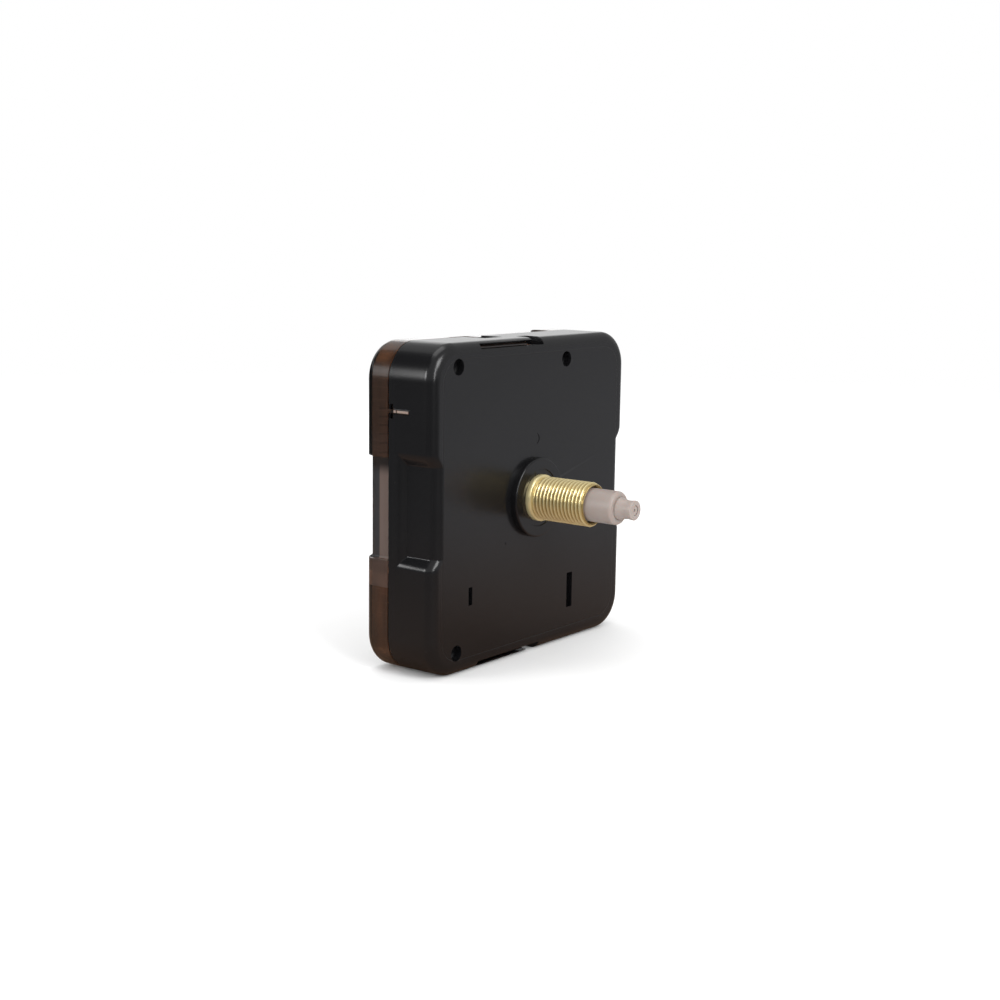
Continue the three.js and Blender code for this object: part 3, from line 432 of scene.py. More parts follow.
finishes = {
    "black_plastic": blackPlastic(),
    "smoke_plastic": smokePlastic(),
    "pale_plastic": plainPlastic("pale_plastic", pipes),
    "white_plastic": plainPlastic("white_plastic", white),
    "tab_plastic": plainPlastic("tab_plastic", tabs),
    "brass": brass(),
    "steel": metal("steel"),
    "ferrite": ferrite(),
    "copper": copperWire(),
    "tinned": metal("tinned"),
    "laminate": laminate(),
    "resin": resin(),
}
slotOf = {part["node"]: part["material_slot"] for part in frame["record"]["subparts"]}
print("finishes made:", len(finishes))


# Meshes
def held(name, mesh, slot):
    piece = bpy.data.objects.new(name, mesh)
    bpy.context.scene.collection.objects.link(piece)
    mesh.materials.clear()
    mesh.materials.append(finishes[slot])
    return piece


def opened(*meshes):
    made = bmesh.new()
    for mesh in meshes:
        made.from_mesh(mesh)
    return made


def closed(made, mesh):
    made.to_mesh(mesh)
    made.free()
    return mesh


def built(name, made, slot):
    bmesh.ops.recalc_face_normals(made, faces=made.faces)
    return held(name, closed(made, bpy.data.meshes.new(name)), slot)


def settled(piece):
    # Modifiers are worked out and the result kept as a plain mesh
    graph = bpy.context.evaluated_depsgraph_get()
    graph.update()
    mesh = bpy.data.meshes.new_from_object(piece.evaluated_get(graph))
    piece.modifiers.clear()
    before, piece.data = piece.data, mesh
    mesh.name = piece.name
    bpy.data.meshes.remove(before)
    return piece


def combined(body, operation, other):
    step = body.modifiers.new("combined", "BOOLEAN")
    step.operation, step.object, step.solver = operation, other, "MANIFOLD"
    settled(body)
    bpy.data.objects.remove(other)
    return body


def copied(name, slot):
    # A CAD node's loose triangles, merged into one closed mesh
    made = opened(nodes[name].data)
    bmesh.ops.remove_doubles(made, verts=made.verts, dist=1e-7)
    return held(name + "_copy", closed(made, bpy.data.meshes.new(name)), slot)


shading = {"flat": 0.05, "sharp": 32, "weight": 100}


def smoothed(piece, sharp=shading["sharp"], weighted=True):
    # Flat faces become one face each again, then round ones are shaded as round
    mesh = piece.data
    made = opened(mesh)
    bmesh.ops.dissolve_limit(made, angle_limit=math.radians(shading["flat"]), verts=made.verts,
                             edges=made.edges)
    closed(made, mesh)
    mesh.shade_smooth()
    mesh.set_sharp_from_angle(angle=math.radians(sharp))
    if not weighted:
        return piece
    weights = piece.modifiers.new("weights", "WEIGHTED_NORMAL")
    weights.keep_sharp, weights.weight = True, shading["weight"]
    return settled(piece)


def stacked(name, rings, slot):
    # Rings of as many points each, one after another, closed at both ends by flat faces
    made = bmesh.new()
    corners = [[made.verts.new(place(*point)) for point in ring] for ring in rings]
    for one, other in zip(corners, corners[1:]):
        for i in range(len(one)):
            made.faces.new((one[i - 1], one[i], other[i], other[i - 1]))
    made.faces.new(corners[0])
    made.faces.new(list(reversed(corners[-1])))
    return built(name, made, slot)


def lathed(name, profile, slot, sides=96, centre=(0, 0), across=False):
    # A profile of (radius, place along the axis) that closes on itself or at the axis
    made = bmesh.new()
    rings = []
    for radius, along in profile:
        if radius == 0:
            spots = [(0, 0)]
        else:
            turns = [2 * math.pi * i / sides for i in range(sides)]
            spots = [(radius * math.cos(turn), radius * math.sin(turn)) for turn in turns]
        points = [(along, centre[0] + a, centre[1] + b) if across
                  else (centre[0] + a, along, centre[1] + b) for a, b in spots]
        rings.append([made.verts.new(place(*point)) for point in points])
    pairs = list(zip(rings, rings[1:]))
    if profile[0][0] > 0:
        pairs.append((rings[-1], rings[0]))
    for one, other in pairs:
        for i in range(sides):
            near = [one[i - 1], one[i]] if len(one) > 1 else [one[0]]
            far = [other[i], other[i - 1]] if len(other) > 1 else [other[0]]
            made.faces.new(near + far)
    return built(name, made, slot)


def joined(name, pieces):
    # Several meshes as the one mesh of the first piece
    mesh = pieces[0].data
    closed(opened(*[piece.data for piece in pieces]), mesh)
    for piece in pieces[1:]:
        bpy.data.objects.remove(piece)
    pieces[0].name = mesh.name = name
    return pieces[0]


def stations(start, *spans):
    # Even steps from the start through each span (end, count)
    points = [start]
    for end, count in spans:
        points += [start + (end - start) * (i + 1) / count for i in range(count)]
        start = end
    return points


# Housing skins
skin = {
    "within": 0.05, "corner": 6.3, "edge": 1.9, "cornerSteps": 14, "edgeSteps": 10,
    "endSteps": 8, "least": 0.05, "slopeSoft": (0.04, 0.06),
}
fingerRecess = {
    "depth": 1.2, "low": (-9.5, -7.4), "high": (10.2, 7.75), "far": (7.9, 6.3), "soft": (0.6, 0.12),
    "rows": ((-10.8, 5), (-6.4, 30), (6.6, 6), (11.2, 30)), "lastRows": 5,
    "levels": (1.95, (5.6, 8), (8.4, 24), (9.4, 3)), "past": 1,
    "filler": {"inner": 26.7, "outer": 28.1, "near": 0.02, "far": 8, "low": -9.7, "high": 10.4},
}
coverRecess = {
    "depth": 0.9, "low": (-8.5, -8.1), "high": (9.02, 8.62), "far": (90, 80), "soft": (0.4, 0.4),
    "rows": ((-9.2, 5), (-7.6, 16), (8, 6), (9.8, 16)), "lastRows": 5,
    "near": 0.3, "from": 9, "steps": 4,
}


def softLow(one, other, reach):
    # The lower of two, with a round turn from one to the other
    gap = max(reach - abs(one - other), 0) / reach
    return min(one, other) - gap * gap * reach / 4


def sunk(recess, y, z):
    # How far the side lies inwards at a finger recess, with slopes eased at both ends
    def share(value, ends):
        return (value - ends[0]) / (ends[1] - ends[0])

    cornerSoft, rearSoft = skin["slopeSoft"]
    slope = softLow(share(z, recess["low"]), share(z, recess["high"]), cornerSoft)
    slope = min(max(softLow(slope, share(y, recess["far"]), rearSoft), 0), 1)
    outer, inner = recess["soft"]
    steep = 1 / (1 - (outer + inner) / 2)
    if slope < outer:
        eased = steep * slope * slope / (2 * outer)
    elif slope > 1 - inner:
        eased = 1 - steep * (1 - slope) ** 2 / (2 * inner)
    else:
        eased = steep * (slope - outer / 2)
    return recess["depth"] * eased


def skinRing(y, inset, recess, rows):
    # One outline of the housing: up the right side, over the top and round
    reach = half - skin["within"] - inset
    middle = half - skin["within"] - skin["corner"]
    radius = max(skin["corner"] - inset, skin["least"])
    steps, across = skin["cornerSteps"], skin["endSteps"]
    ring = []
    for side in (1, -1):
        for z in [side * row for row in rows]:
            ring.append((side * (reach - sunk(recess, y, z)), y, z))
        for second in (0, 1):
            start = (0 if side > 0 else math.pi) + second * math.pi / 2
            cx = -side * middle if second else side * middle
            for i in range(1, steps if second else steps + 1):
                angle = start + math.pi / 2 * i / steps
                ring.append((cx + radius * math.cos(angle), y,
                             side * middle + radius * math.sin(angle)))
            if not second:
                for i in range(1, across):
                    ring.append((side * middle * (1 - 2 * i / across), y, side * reach))
                ring.append((-side * middle, y, side * reach))
    return ring


def skinBody(name, levels, recess, rows, slot):
    rings = [skinRing(y, inset, recess, rows) for y, inset in levels]
    return stacked(name, rings, slot)


def sideRows(recess):
    # Heights along a side, close together on the slopes of its recess
    end = half - skin["within"] - skin["corner"]
    return stations(-end, *recess["rows"], (end, recess["lastRows"]))


def rim(start, direction):
    # Depth and inset through a rounded edge, from the flat face to the side
    radius, steps = skin["edge"], skin["edgeSteps"]
    turns = [math.pi / 2 * i / steps for i in range(steps + 1)]
    return [(start + direction * radius * (1 - math.cos(t)), radius * (1 - math.sin(t)))
            for t in turns]


def caseShell():
    # The CAD recesses are filled first, so that the skin alone gives them their soft slopes
    levels = rim(skin["within"], 1) + [(y, 0) for y in stations(*fingerRecess["levels"])[1:]]
    levels.append((case["split"] + fingerRecess["past"], 0))
    body = skinBody("case_shell", levels, fingerRecess, sideRows(fingerRecess), "black_plastic")
    full, fill = copied("front_case", "black_plastic"), fingerRecess["filler"]
    outline = [(fill[x], fill[z]) for x, z in (
        ("inner", "low"), ("outer", "low"), ("outer", "high"), ("inner", "high"))]
    for side in (-1, 1):
        rings = [[(side * x, y, z) for x, z in outline] for y in (fill["near"], fill["far"])]
        full = combined(full, "UNION", stacked("recess_filler", rings, "black_plastic"))
    return combined(body, "INTERSECT", full)


def coverShell():
    recess, far = coverRecess, case["depth"] - skin["within"]
    sides = stations(recess["from"], (far - skin["edge"], recess["steps"]))
    levels = [(recess["near"], 0)] + [(y, 0) for y in sides]
    levels += list(reversed(rim(far, -1)))[1:]
    body = skinBody("cover_shell", levels, recess, sideRows(recess), "smoke_plastic")
    return combined(body, "INTERSECT", copied("rear_cover", "smoke_plastic"))


faceRing = {
    "radius": 7, "front": -1.2, "edge": 0.3, "edgeSteps": 5, "recess": 5, "slope": 0.1,
    "floor": -1, "bore": 3.62, "back": 0.6,
}


def dialRing():
    # The raised disc round the shaft, with its softened edge and its shallow inner recess
    r, edge = faceRing, faceRing["edge"]
    turns = [math.pi / 2 * i / r["edgeSteps"] for i in range(r["edgeSteps"] + 1)]
    outer = [(r["radius"] - edge + edge * math.cos(t), r["front"] + edge - edge * math.sin(t))
             for t in turns]
    profile = [(r["bore"], r["back"]), (r["radius"], r["back"]), *outer,
               (r["recess"] + r["slope"], r["front"]), (r["recess"], r["floor"]),
               (r["bore"], r["floor"])]
    return lathed("dial_ring", profile, "black_plastic")


shell = caseShell()
ring = dialRing()
shell = smoothed(combined(shell, "UNION", ring))
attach(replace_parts(shell, "front_case"), "case")
cover = smoothed(coverShell())
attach(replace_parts(cover, "rear_cover"), "case")
print("housing made:", len(shell.data.polygons), "and", len(cover.data.polygons), "faces")


# Geometry Nodes
class Builder(Graph):
    # A geometry tree with named inputs, put on a new object and worked out into a mesh
    def __init__(self, name, inputs):
        super().__init__(bpy.data.node_groups.new(name, "GeometryNodeTree"))
        self.name, self.values = name, {}
        face = self.tree.interface
        face.new_socket("Geometry", in_out="OUTPUT", socket_type="NodeSocketGeometry")
        kinds = {int: "NodeSocketInt", float: "NodeSocketFloat"}
        for label, value in inputs.items():
            socket = face.new_socket(label, in_out="INPUT", socket_type=kinds[type(value)])
            self.values[socket.identifier] = value
        self.inputs = dict(zip(inputs, self.node("NodeGroupInput", out=None)))

    def finish(self, shape, slot):
        real = self.node("GeometryNodeRealizeInstances", {}, [shape])
        painted = self.node("GeometryNodeSetMaterial", {}, {
            "Geometry": real, "Material": finishes[slot]})
        self.node("NodeGroupOutput", {}, [painted], None)
        piece = held(self.name, bpy.data.meshes.new(self.name), slot)
        step = piece.modifiers.new("built", "NODES")
        step.node_group = self.tree
        for identifier, value in self.values.items():
            step[identifier] = value
        return settled(piece)


thread = {
    "Pitch": 0.75, "Crest": 3.85, "Depth": 0.42, "Start": 1.95, "Length": 10.75, "Run": 0.5,
    "Around": 96, "Turns": 16, "Steps": 16,
}
threadFlat = 0.12  # share of half a turn that crest and root are flat for


def threadRod():
    # A solid rod whose rows of points run along the thread's helix, so that every row has one
    # radius. Rows past an end lie on its rim, and the first and last close it at the axis.
    build = Builder("bushing_thread", thread)
    use = build.inputs
    grid = build.node("GeometryNodeMeshGrid", {}, {
        "Size X": 1.0, "Size Y": 1.0, "Vertices X": use["Around"],
        "Vertices Y": use["Turns"] * use["Steps"] + 1})
    across, along, _ = build.split(build.node("GeometryNodeInputPosition"))
    turn, share = across + 0.5, along + 0.5
    row = share * use["Turns"]
    down = (row + turn - 1 - 1 / use["Steps"]) * use["Pitch"]
    down = down.low(use["Length"]).high(0)
    wave = (row.part() * 2 - 1).size()
    shaped = ((wave - threadFlat) / (1 - 2 * threadFlat)).clamped()
    run = (down.low(use["Length"] - down) / use["Run"]).clamped()
    isEnd = (share - 0.5).size().over(0.4999)  # the first and the last row
    radius = (use["Crest"] - use["Depth"] * (1 - run * shaped)) * (1 - isEnd)
    angle = turn * (2 * math.pi)
    spot = build.node("ShaderNodeCombineXYZ", {}, [
        radius * angle.cosine() * mm,
        (0 - use["Start"] - down + origin[1]) * mm,
        (radius * angle.sine() + origin[2]) * mm])
    moved = build.node("GeometryNodeSetPosition", {}, {"Geometry": grid, "Position": spot})
    merged = build.node("GeometryNodeMergeByDistance", {}, {"Geometry": moved, "Distance": 1e-6})
    return build.finish(merged, "brass")


def facedOut(piece):
    made = opened(piece.data)
    bmesh.ops.recalc_face_normals(made, faces=made.faces)
    closed(made, piece.data)
    return piece


bushing = {
    "bore": 3.2, "collar": 4.12, "collarFront": -1.95, "soft": 0.15, "base": -1, "neck": 3.5,
    "flange": 4.7, "flangeNear": 1.4, "flangeFar": 2, "root": 3.4, "rootSlope": 0.1,
    "rootReach": 0.4, "end": -12.7, "mouth": 0.7, "lead": 0.25, "leadOut": 0.01, "past": 1,
    "sharp": 62,
}


def brassBushing():
    b = bushing
    rootFront, boreEnd = b["collarFront"] - b["rootReach"], b["flangeFar"] + b["past"]
    body = lathed("bushing_body", [
        (0, rootFront), (b["root"], rootFront), (b["root"] + b["rootSlope"], b["collarFront"]),
        (b["collar"] - b["soft"], b["collarFront"]),
        (b["collar"], b["collarFront"] + b["soft"]), (b["collar"], b["base"]),
        (b["neck"], b["base"]), (b["neck"], b["flangeNear"]), (b["flange"], b["flangeNear"]),
        (b["flange"], b["flangeFar"]), (0, b["flangeFar"])], "brass")
    bore = lathed("bushing_bore", [
        (0, b["end"] - b["past"]), (b["bore"] + b["mouth"], b["end"] - b["past"]),
        (b["bore"] + b["lead"], b["end"] - b["leadOut"]), (b["bore"], b["end"] + b["lead"]),
        (b["bore"], boreEnd), (0, boreEnd)], "brass")
    body = combined(body, "UNION", facedOut(threadRod()))
    body = combined(body, "DIFFERENCE", bore)
    body.name = body.data.name = "bushing_turned"
    return smoothed(body, b["sharp"], False)


turned = brassBushing()
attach(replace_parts(turned, "threaded_bushing"), "case")
print("bushing made:", len(turned.data.polygons), "faces")

coil = {
    "Wire": 0.13, "Radius": 3.36, "Left": 0.7, "Length": 19.6, "Turns": 68.0, "Steps": 26,
}
coilBody = {
    "y": 6.7, "z": 18.7804, "core": 3.28, "bore": 2.35, "left": 0.65, "right": 20.35,
    "sides": 40, "wireSides": 6,
}


def coilWire():
    # One wire wound from flange to flange along a helix
    build = Builder("coil_wire", coil)
    use = build.inputs
    helix = build.node("GeometryNodeCurveSpiral", {}, {
        "Resolution": use["Steps"], "Rotations": use["Turns"], "Start Radius": use["Radius"] * mm,
        "End Radius": use["Radius"] * mm, "Height": use["Length"] * mm})
    outline = build.node("GeometryNodeCurvePrimitiveCircle", {}, {
        "Resolution": coilBody["wireSides"], "Radius": use["Wire"] * mm})
    tube = build.node("GeometryNodeCurveToMesh", {}, {
        "Curve": helix, "Profile Curve": outline, "Fill Caps": True})
    spot = build.node("ShaderNodeCombineXYZ", {}, [
        use["Left"] * mm, (coilBody["y"] + origin[1]) * mm, (coilBody["z"] + origin[2]) * mm])
    laid = build.node("GeometryNodeTransform", {}, {
        "Geometry": tube, "Translation": spot, "Rotation": (0, math.pi / 2, 0)})
    smooth = build.node("GeometryNodeSetShadeSmooth", {}, [laid])
    return build.finish(smooth, "copper")


def coilInside():
    # The body of the winding under its outer layer
    c = coilBody
    return lathed("coil_inside", [
        (c["bore"], c["left"]), (c["core"], c["left"]), (c["core"], c["right"]),
        (c["bore"], c["right"])], "copper", c["sides"], (c["y"], c["z"]), True)


inside = coilInside()
wire = joined("coil_wire", [coilWire(), inside])
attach(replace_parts(wire, "coil_winding"), "case")
print("coil wound:", len(wire.data.polygons), "faces")


# The three drives: a turned pipe each before the wheels, and the CAD's own wheel behind
drives = {"meets": 1.9, "overlap": 0.2, "relief": 0.3, "box": (80, 40, 80)}
hour = {
    "radius": 2.9, "bore": 2.25, "front": -17.9, "shoulder": 0.65, "lip": 1.97, "lipEnd": -16.9,
    "chamfer": 0.05, "steps": 8, "sides": 72,
}
minute = {
    "radius": 1.95, "bore": 1.17, "front": -21, "tip": 1.7, "edge": 0.16, "lip": 0.886,
    "lipEnd": -19.2, "chamfer": 0.04, "steps": 5, "sides": 64,
    "neck": 1.6, "waist": (-19.9, -18.2), "waistSteps": 10,
}
seconds = {
    "radius": 0.88, "front": -20.85, "edge": 0.12, "hole": 0.24, "holeEnd": -17.6,
    "chamfer": 0.05, "steps": 4, "sides": 40,
}


def behind(name, slot):
    # What of a copy of a CAD node lies behind the place where the pipes meet it
    made = bmesh.new()
    bmesh.ops.create_cube(made, size=1)
    box, deep = closed(made, bpy.data.meshes.new("behind")), drives["box"][1]
    middle = place(0, drives["meets"] + deep / 2, 0)
    box.transform(Matrix.LocRotScale(middle, None, Vector(drives["box"]) * mm))
    return combined(copied(name, slot), "INTERSECT", held("behind", box, slot))


def roundEdge(radius, y, reach, count):
    # A rounded front edge, from the face outwards
    turns = [math.pi / 2 * i / count for i in range(count + 1)]
    return [(radius - reach + reach * math.sin(t), y + reach - reach * math.cos(t)) for t in turns]


def lipped(pipe):
    # From the bore over the inner lip to the front face
    return [(pipe["bore"], pipe["lipEnd"] + drives["relief"]), (pipe["lip"], pipe["lipEnd"]),
            (pipe["lip"], pipe["front"] + pipe["chamfer"]),
            (pipe["lip"] + pipe["chamfer"], pipe["front"])]


pipeEnd = drives["meets"] + drives["overlap"]


def hourDrive():
    h = hour
    profile = [*lipped(h), *roundEdge(h["radius"], h["front"], h["shoulder"], h["steps"]),
               (h["radius"], pipeEnd), (h["bore"], pipeEnd)]
    pipe = lathed("hour_pipe", profile, "pale_plastic", h["sides"])
    return smoothed(joined("hour_drive", [pipe, behind("hour_wheel", "pale_plastic")]))


def minuteDrive():
    m = minute
    near, far = m["waist"]
    shares = [i / m["waistSteps"] for i in range(m["waistSteps"] + 1)]
    waist = [(m["neck"] + (m["radius"] - m["neck"]) * share ** 2, near + (far - near) * share)
             for share in shares]
    profile = [*lipped(m), *roundEdge(m["tip"], m["front"], m["edge"], m["steps"]), *waist,
               (m["radius"], pipeEnd), (m["bore"], pipeEnd)]
    pipe = lathed("minute_tube", profile, "pale_plastic", m["sides"])
    return smoothed(joined("minute_drive", [pipe, behind("minute_pipe", "pale_plastic")]))


def secondsDrive():
    s = seconds
    profile = [(0, s["holeEnd"]), (s["hole"], s["holeEnd"]),
               (s["hole"], s["front"] + s["chamfer"]), (s["hole"] + s["chamfer"], s["front"]),
               *roundEdge(s["radius"], s["front"], s["edge"], s["steps"]),
               (s["radius"], pipeEnd), (0, pipeEnd)]
    tube = lathed("seconds_tube", profile, "pale_plastic", s["sides"])
    return smoothed(joined("seconds_drive", [tube, behind("seconds_arbor", "steel")]))


for piece, node, body, slot in (
        (hourDrive(), "hour_wheel", "hour", "pale_plastic"),
        (minuteDrive(), "minute_pipe", "minute", "pale_plastic"),
        (secondsDrive(), "seconds_arbor", "seconds", "steel")):
    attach(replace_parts(piece, node), body)
print("drives made")

# Mould marks on the dial face
marks = {
    "arc": {"at": (0.2, 10.3), "radius": 0.85, "width": 0.12, "from": -70, "to": 70, "steps": 14},
    "dot": {"at": (-8.1, -7.2), "radius": 0.16, "sides": 16},
    "proud": 0.03, "sunk": 0.3,
}


def mouldMarks():
    arc, dot, proud, sunkTo = marks["arc"], marks["dot"], marks["proud"], marks["sunk"]
    inner, outer = arc["radius"], arc["radius"] + arc["width"]
    rings = []
    for i in range(arc["steps"] + 1):
        angle = math.radians(arc["from"] + (arc["to"] - arc["from"]) * i / arc["steps"])
        rings.append([(arc["at"][0] + r * math.cos(angle), y, arc["at"][1] + r * math.sin(angle))
                      for r, y in ((inner, sunkTo), (inner, -proud), (outer, -proud),
                                   (outer, sunkTo))])
    curve = stacked("mould_arc", rings, "black_plastic")
    bead = lathed("mould_dot", [(0, sunkTo), (dot["radius"], sunkTo), (dot["radius"], -proud / 2),
                                (dot["radius"] / 2, -proud), (0, -proud)],
                  "black_plastic", dot["sides"], dot["at"])
    return joined("mould_marks", [curve, bead])


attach(mouldMarks(), "case")

insert = {
    "height": 16.65, "far": 8.55, "at": 27.84, "buried": 0.4, "drop": 0.04, "chamfer": 0.02,
    "flat": 0.8, "endRun": 0.05, "groove": 7.9, "grooveTop": 0.12, "grooveFloor": 0.06,
    "pale": {"near": 5.3, "width": 0.46, "top": 27.91},
    "bed": {"near": 5.1, "width": 0.86, "top": 27.86},
}


def bar(name, side, size, slot, groove=None):
    # A low bar along a side of the case, with bevelled ends and perhaps a groove across it
    near, far, run = size["near"], insert["far"], insert["endRun"]
    deep = insert["at"] - insert["buried"]
    stops = [(near, 0), (near + run, 1), (far - run, 1), (far, 0)]
    if groove:
        wide, narrow = insert["grooveTop"], insert["grooveFloor"]
        stops[2:2] = [(groove - wide, 1), (groove - narrow, 0), (groove + narrow, 0),
                      (groove + wide, 1)]
    rings = []
    for y, up in stops:
        x = size["top"] - insert["drop"] * (1 - up)
        low, flat = x - insert["chamfer"], insert["flat"]
        rings.append([(side * a, y, insert["height"] + b * size["width"] / 2) for a, b in (
            (deep, -1), (low, -1), (x, -flat), (x, flat), (low, 1), (deep, 1))])
    return stacked(name, rings, slot)


def tabInserts():
    # The pale faces of the cover's side tabs, in the dark beds of their slits
    pale = [bar("tab_insert", side, insert["pale"], "tab_plastic", insert["groove"])
            for side in (-1, 1)]
    dark = [bar("tab_bed", side, insert["bed"], "black_plastic") for side in (-1, 1)]
    return joined("tab_inserts", pale), joined("tab_beds", dark)


inserts, beds = tabInserts()
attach(inserts, "case")
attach(beds, "case")

seam = {
    "near": 9.4, "far": 9.79, "out": 0.28, "in": 0.95, "past": 1, "rows": (-21.6, (21.6, 8)),
    "noRecess": {"depth": 0, "low": (0, 1), "high": (2, 1), "far": (3, 2), "soft": (0.4, 0.4)},
}


def seamLip():
    # The dark lip of the case on which the cover sits, seen in the gap between the two
    s, rows = seam, stations(*seam["rows"])
    lip = [(s["near"], s["out"]), (s["far"], s["out"])]
    hole = [(s["near"] - s["past"], s["in"]), (s["far"] + s["past"], s["in"])]
    lip = skinBody("seam_lip", lip, s["noRecess"], rows, "black_plastic")
    hole = skinBody("seam_hole", hole, s["noRecess"], rows, "black_plastic")
    return smoothed(combined(lip, "DIFFERENCE", hole))


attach(seamLip(), "case")

screwHole = {
    "at": ((-21.45, 24.05), (8.9, 23.75), (-21.45, -24.05)), "radius": 1.5, "near": 1.5,
    "far": 1.75, "dimple": 0.15, "slope": 0.1, "rim": 0.3, "rimHigh": 0.2, "sides": 32,
}
slotShadeSheet = {
    "near": 1.37, "far": 1.62, "bevel": 0.08, "over": 0.25,
    "slots": ((-18.3, -17.3, -16.4, -13.3), (10.3, 12, -21.8, -15.4)),
}


def holeFloors():
    # The screw holes end at a thin skin with the point of the mould's pin in it, and dark sheets
    # behind the two slots paint shade into them, keeping out the light of the battery bay
    h, b = screwHole, slotShadeSheet
    outer, high = h["radius"] + h["rim"], h["near"] - h["rimHigh"]
    profile = [(0, h["far"]), (outer, h["far"]), (outer, high), (h["radius"], high),
               (h["radius"] - h["slope"], h["near"]), (0, h["near"] + h["dimple"])]
    pieces = [lathed("hole_floor", profile, "black_plastic", h["sides"], at) for at in h["at"]]
    # Painted shade: dark sheets behind the slots, where the battery bay lies open
    for left, right, low, high in b["slots"]:
        rings = []
        for y, inset in ((b["near"], 0), (b["far"] - b["bevel"], 0), (b["far"], b["bevel"])):
            over = b["over"] - inset
            rings.append([(left - over, y, low - over), (right + over, y, low - over),
                          (right + over, y, high + over), (left - over, y, high + over)])
        pieces.append(stacked("slot_shade_sheet", rings, "black_plastic"))
    return joined("hole_floors", pieces)


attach(holeFloors(), "case")
print("marks, inserts and hole floors made")

# Finishes of the CAD pieces
for name, node in nodes.items():
    slot = slotOf.get(name)
    if slot is None:
        print("no slot for", name)
        continue
    for part in node.material_slots:
        part.material = finishes[slot]
print("finishes laid on")

# Floor, light and camera. The floor, lamps and cards have their sizes and places in metres.
paper = {
    "white": (246, 246, 246), "near": (134, 102, 78), "far": (150, 150, 153), "reach": 150,
    "dark": 0.08, "rise": (4, 42), "fall": (130, 95), "fade": (330, 560),
}
cardTone = {"dark": (14, 14, 14), "light": (20, 20, 20), "cloud": (0.05, 3)}
studio = {
    "floor": 1.2, "daylight": 1.0, "mirrored": 0.42, "behind": 1.0,
    "lamps": {
        "key": {"azimuth": -12, "elevation": 38, "distance": 0.9, "size": 0.38, "power": 3},
        "near": {"azimuth": -27, "elevation": 17, "distance": 0.9, "size": 0.12, "power": 1.2,
                 "tall": 0.36},
        "left": {"azimuth": -119, "elevation": 18, "distance": 0.9, "size": 0.28, "power": 1.9},
        "overhead": {"azimuth": 170, "elevation": 78, "distance": 0.9, "size": 0.6, "power": 1.6},
        "backdrop": {"azimuth": 131, "elevation": 14, "distance": 1.2, "size": 0.6, "power": 0.9},
    },
    "cards": {
        "low": {"azimuth": -117, "distance": 0.34, "width": 0.7, "bottom": 0, "top": 0.07},
        "front": {"azimuth": -36, "distance": 0.34, "width": 0.56, "bottom": 0, "top": 0.07},
        "rear": {"azimuth": -176, "distance": 0.3, "width": 0.54, "bottom": 0, "top": 0.12},
        "high": {"azimuth": -141, "distance": 0.34, "width": 0.56, "bottom": 0.2, "top": 0.6},
    },
}


def floorPaper():
    # Pale paper that fades out far off. Mirrored, it looks as dim as the room round it: warm
    # close to the part, pale far off on the right and dark all round the rest.
    use = Finish("floor_paper", Roughness=0.9)
    x, y = (value / mm for value in use.split(use.place)[:2])
    distance = (x ** 2 + y ** 2) ** 0.5
    mirrored = use.node("ShaderNodeLightPath", out="Is Glossy Ray")
    bearing = x.bearing(-y) * (180 / math.pi)
    lit = 1
    for start, end in (paper["rise"], paper["fall"]):
        lit = ((bearing - start) / (end - start)).clamped().eased() * lit
    far = use.mixed(lit * (1 - paper["dark"]) + paper["dark"], (0, 0, 0), paper["far"])
    room = use.mixed((distance / paper["reach"]).clamped(), paper["near"], far)
    colour = use.mixed(mirrored, paper["white"], room)
    start, end = paper["fade"]
    solid = (1 - ((distance - start) / (end - start)).clamped()).high(mirrored)
    return use.feed(Base_Color=colour, Alpha=solid)


def blackCard():
    use = Finish("black_card", Roughness=0.9)
    cloud = use.noise(*cardTone["cloud"])
    return use.feed(Base_Color=use.mixed(cloud, cardTone["dark"], cardTone["light"]))


def outwards(azimuth, elevation):
    # The direction of a bearing round the part, 0 straight before the dial
    az, el = math.radians(azimuth), math.radians(elevation)
    return Vector((math.sin(az) * math.cos(el), -math.cos(az) * math.cos(el), math.sin(el)))


def lamp(name, azimuth, elevation, distance, size, power, tall=None):
    light = bpy.data.lights.new(name, "AREA")
    light.size, light.energy = size, power
    if tall:
        light.shape, light.size_y = "RECTANGLE", tall
    made = bpy.data.objects.new(name, light)
    away = outwards(azimuth, elevation)
    made.location = place(0, case["depth"] / 2, 0) + away * distance
    made.rotation_euler = away.to_track_quat("Z", "Y").to_euler()
    made.visible_camera = False
    bpy.context.scene.collection.objects.link(made)


def staged(name, corners, material):
    mesh = bpy.data.meshes.new(name)
    mesh.from_pydata(corners, [], [(0, 1, 2, 3)])
    mesh.materials.append(material)
    made = bpy.data.objects.new(name, mesh)
    bpy.context.scene.collection.objects.link(made)
    return made


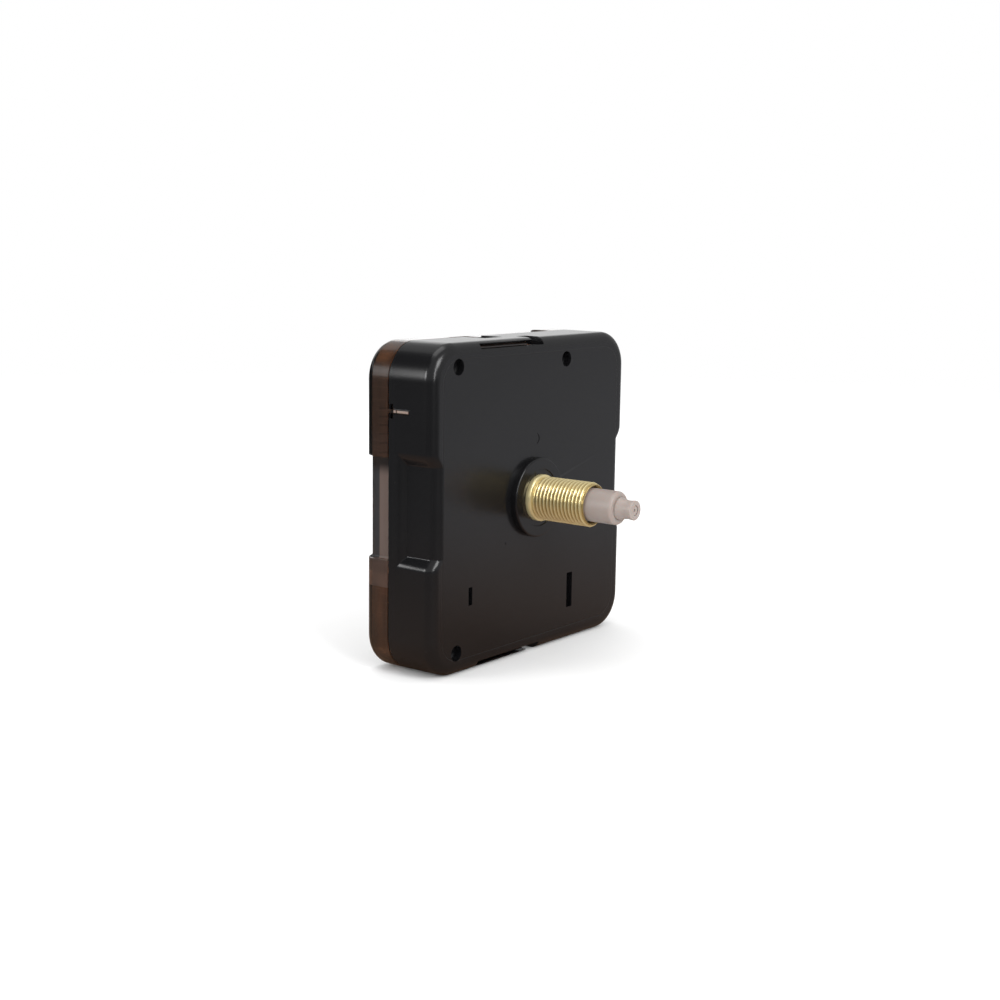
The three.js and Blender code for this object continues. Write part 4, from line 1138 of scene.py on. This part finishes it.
def card(name, material, azimuth, distance, width, bottom, top):
    # A dark card that only mirror images show, to keep an edge of the case dark
    away = outwards(azimuth, 0)
    middle, along = away * distance, away.cross(Vector((0, 0, 1))) * width / 2
    low, high = Vector((0, 0, bottom)), Vector((0, 0, top))
    made = staged("card_" + name, [middle - along + low, middle + along + low,
                                   middle + along + high, middle - along + high], material)
    made.visible_camera = made.visible_diffuse = made.visible_shadow = False
    made.visible_transmission = False


def makeStudio():
    size = studio["floor"]
    staged("floor", [(-size, -size, 0), (size, -size, 0), (size, size, 0), (-size, size, 0)],
           floorPaper())
    black = blackCard()
    for name, values in studio["cards"].items():
        card(name, black, **values)
    for name, values in studio["lamps"].items():
        lamp(name, **values)
    world = bpy.data.worlds.new("studio")
    bpy.context.scene.world = world
    world.use_nodes = True
    graph = Graph(world.node_tree)
    rays = {ray.socket.name: ray for ray in graph.node("ShaderNodeLightPath", out=None)}
    seen = rays["Is Camera Ray"].high(rays["Is Transmission Ray"])
    change = studio["mirrored"] - studio["daylight"]
    level = rays["Is Glossy Ray"] * change + studio["daylight"]
    level = seen * studio["behind"] + (1 - seen) * level
    background = world.node_tree.nodes["Background"]
    graph.link(level, background.inputs["Strength"])
    background.inputs["Color"].default_value = (1, 1, 1, 1)


view = {
    "azimuth": -52.4537, "elevation": 9.6129, "roll": 0.7924, "distance": 272.0655,
    "lens": 57.3184, "sensor": 36, "clip": 0.01, "target": (-10.0474, 0, 0.6754),
}


def makeCamera():
    back, roll = outwards(view["azimuth"], view["elevation"]), math.radians(view["roll"])
    right = (-back).cross(Vector((0, 0, 1))).normalized()
    up = right.cross(-back)
    across = right * math.cos(roll) + up * math.sin(roll)
    upwards = up * math.cos(roll) - right * math.sin(roll)
    data = bpy.data.cameras.new("camera")
    data.lens, data.sensor_width, data.clip_start = view["lens"], view["sensor"], view["clip"]
    made = bpy.data.objects.new("camera", data)
    turn = Matrix((across, upwards, back)).transposed().to_4x4()
    spot = place(*view["target"]) + back * view["distance"] * mm
    made.matrix_world = Matrix.Translation(spot) @ turn
    bpy.context.scene.collection.objects.link(made)
    bpy.context.scene.camera = made


makeStudio()
makeCamera()
bpy.context.scene.view_settings.view_transform = "Standard"
print("studio and camera set")
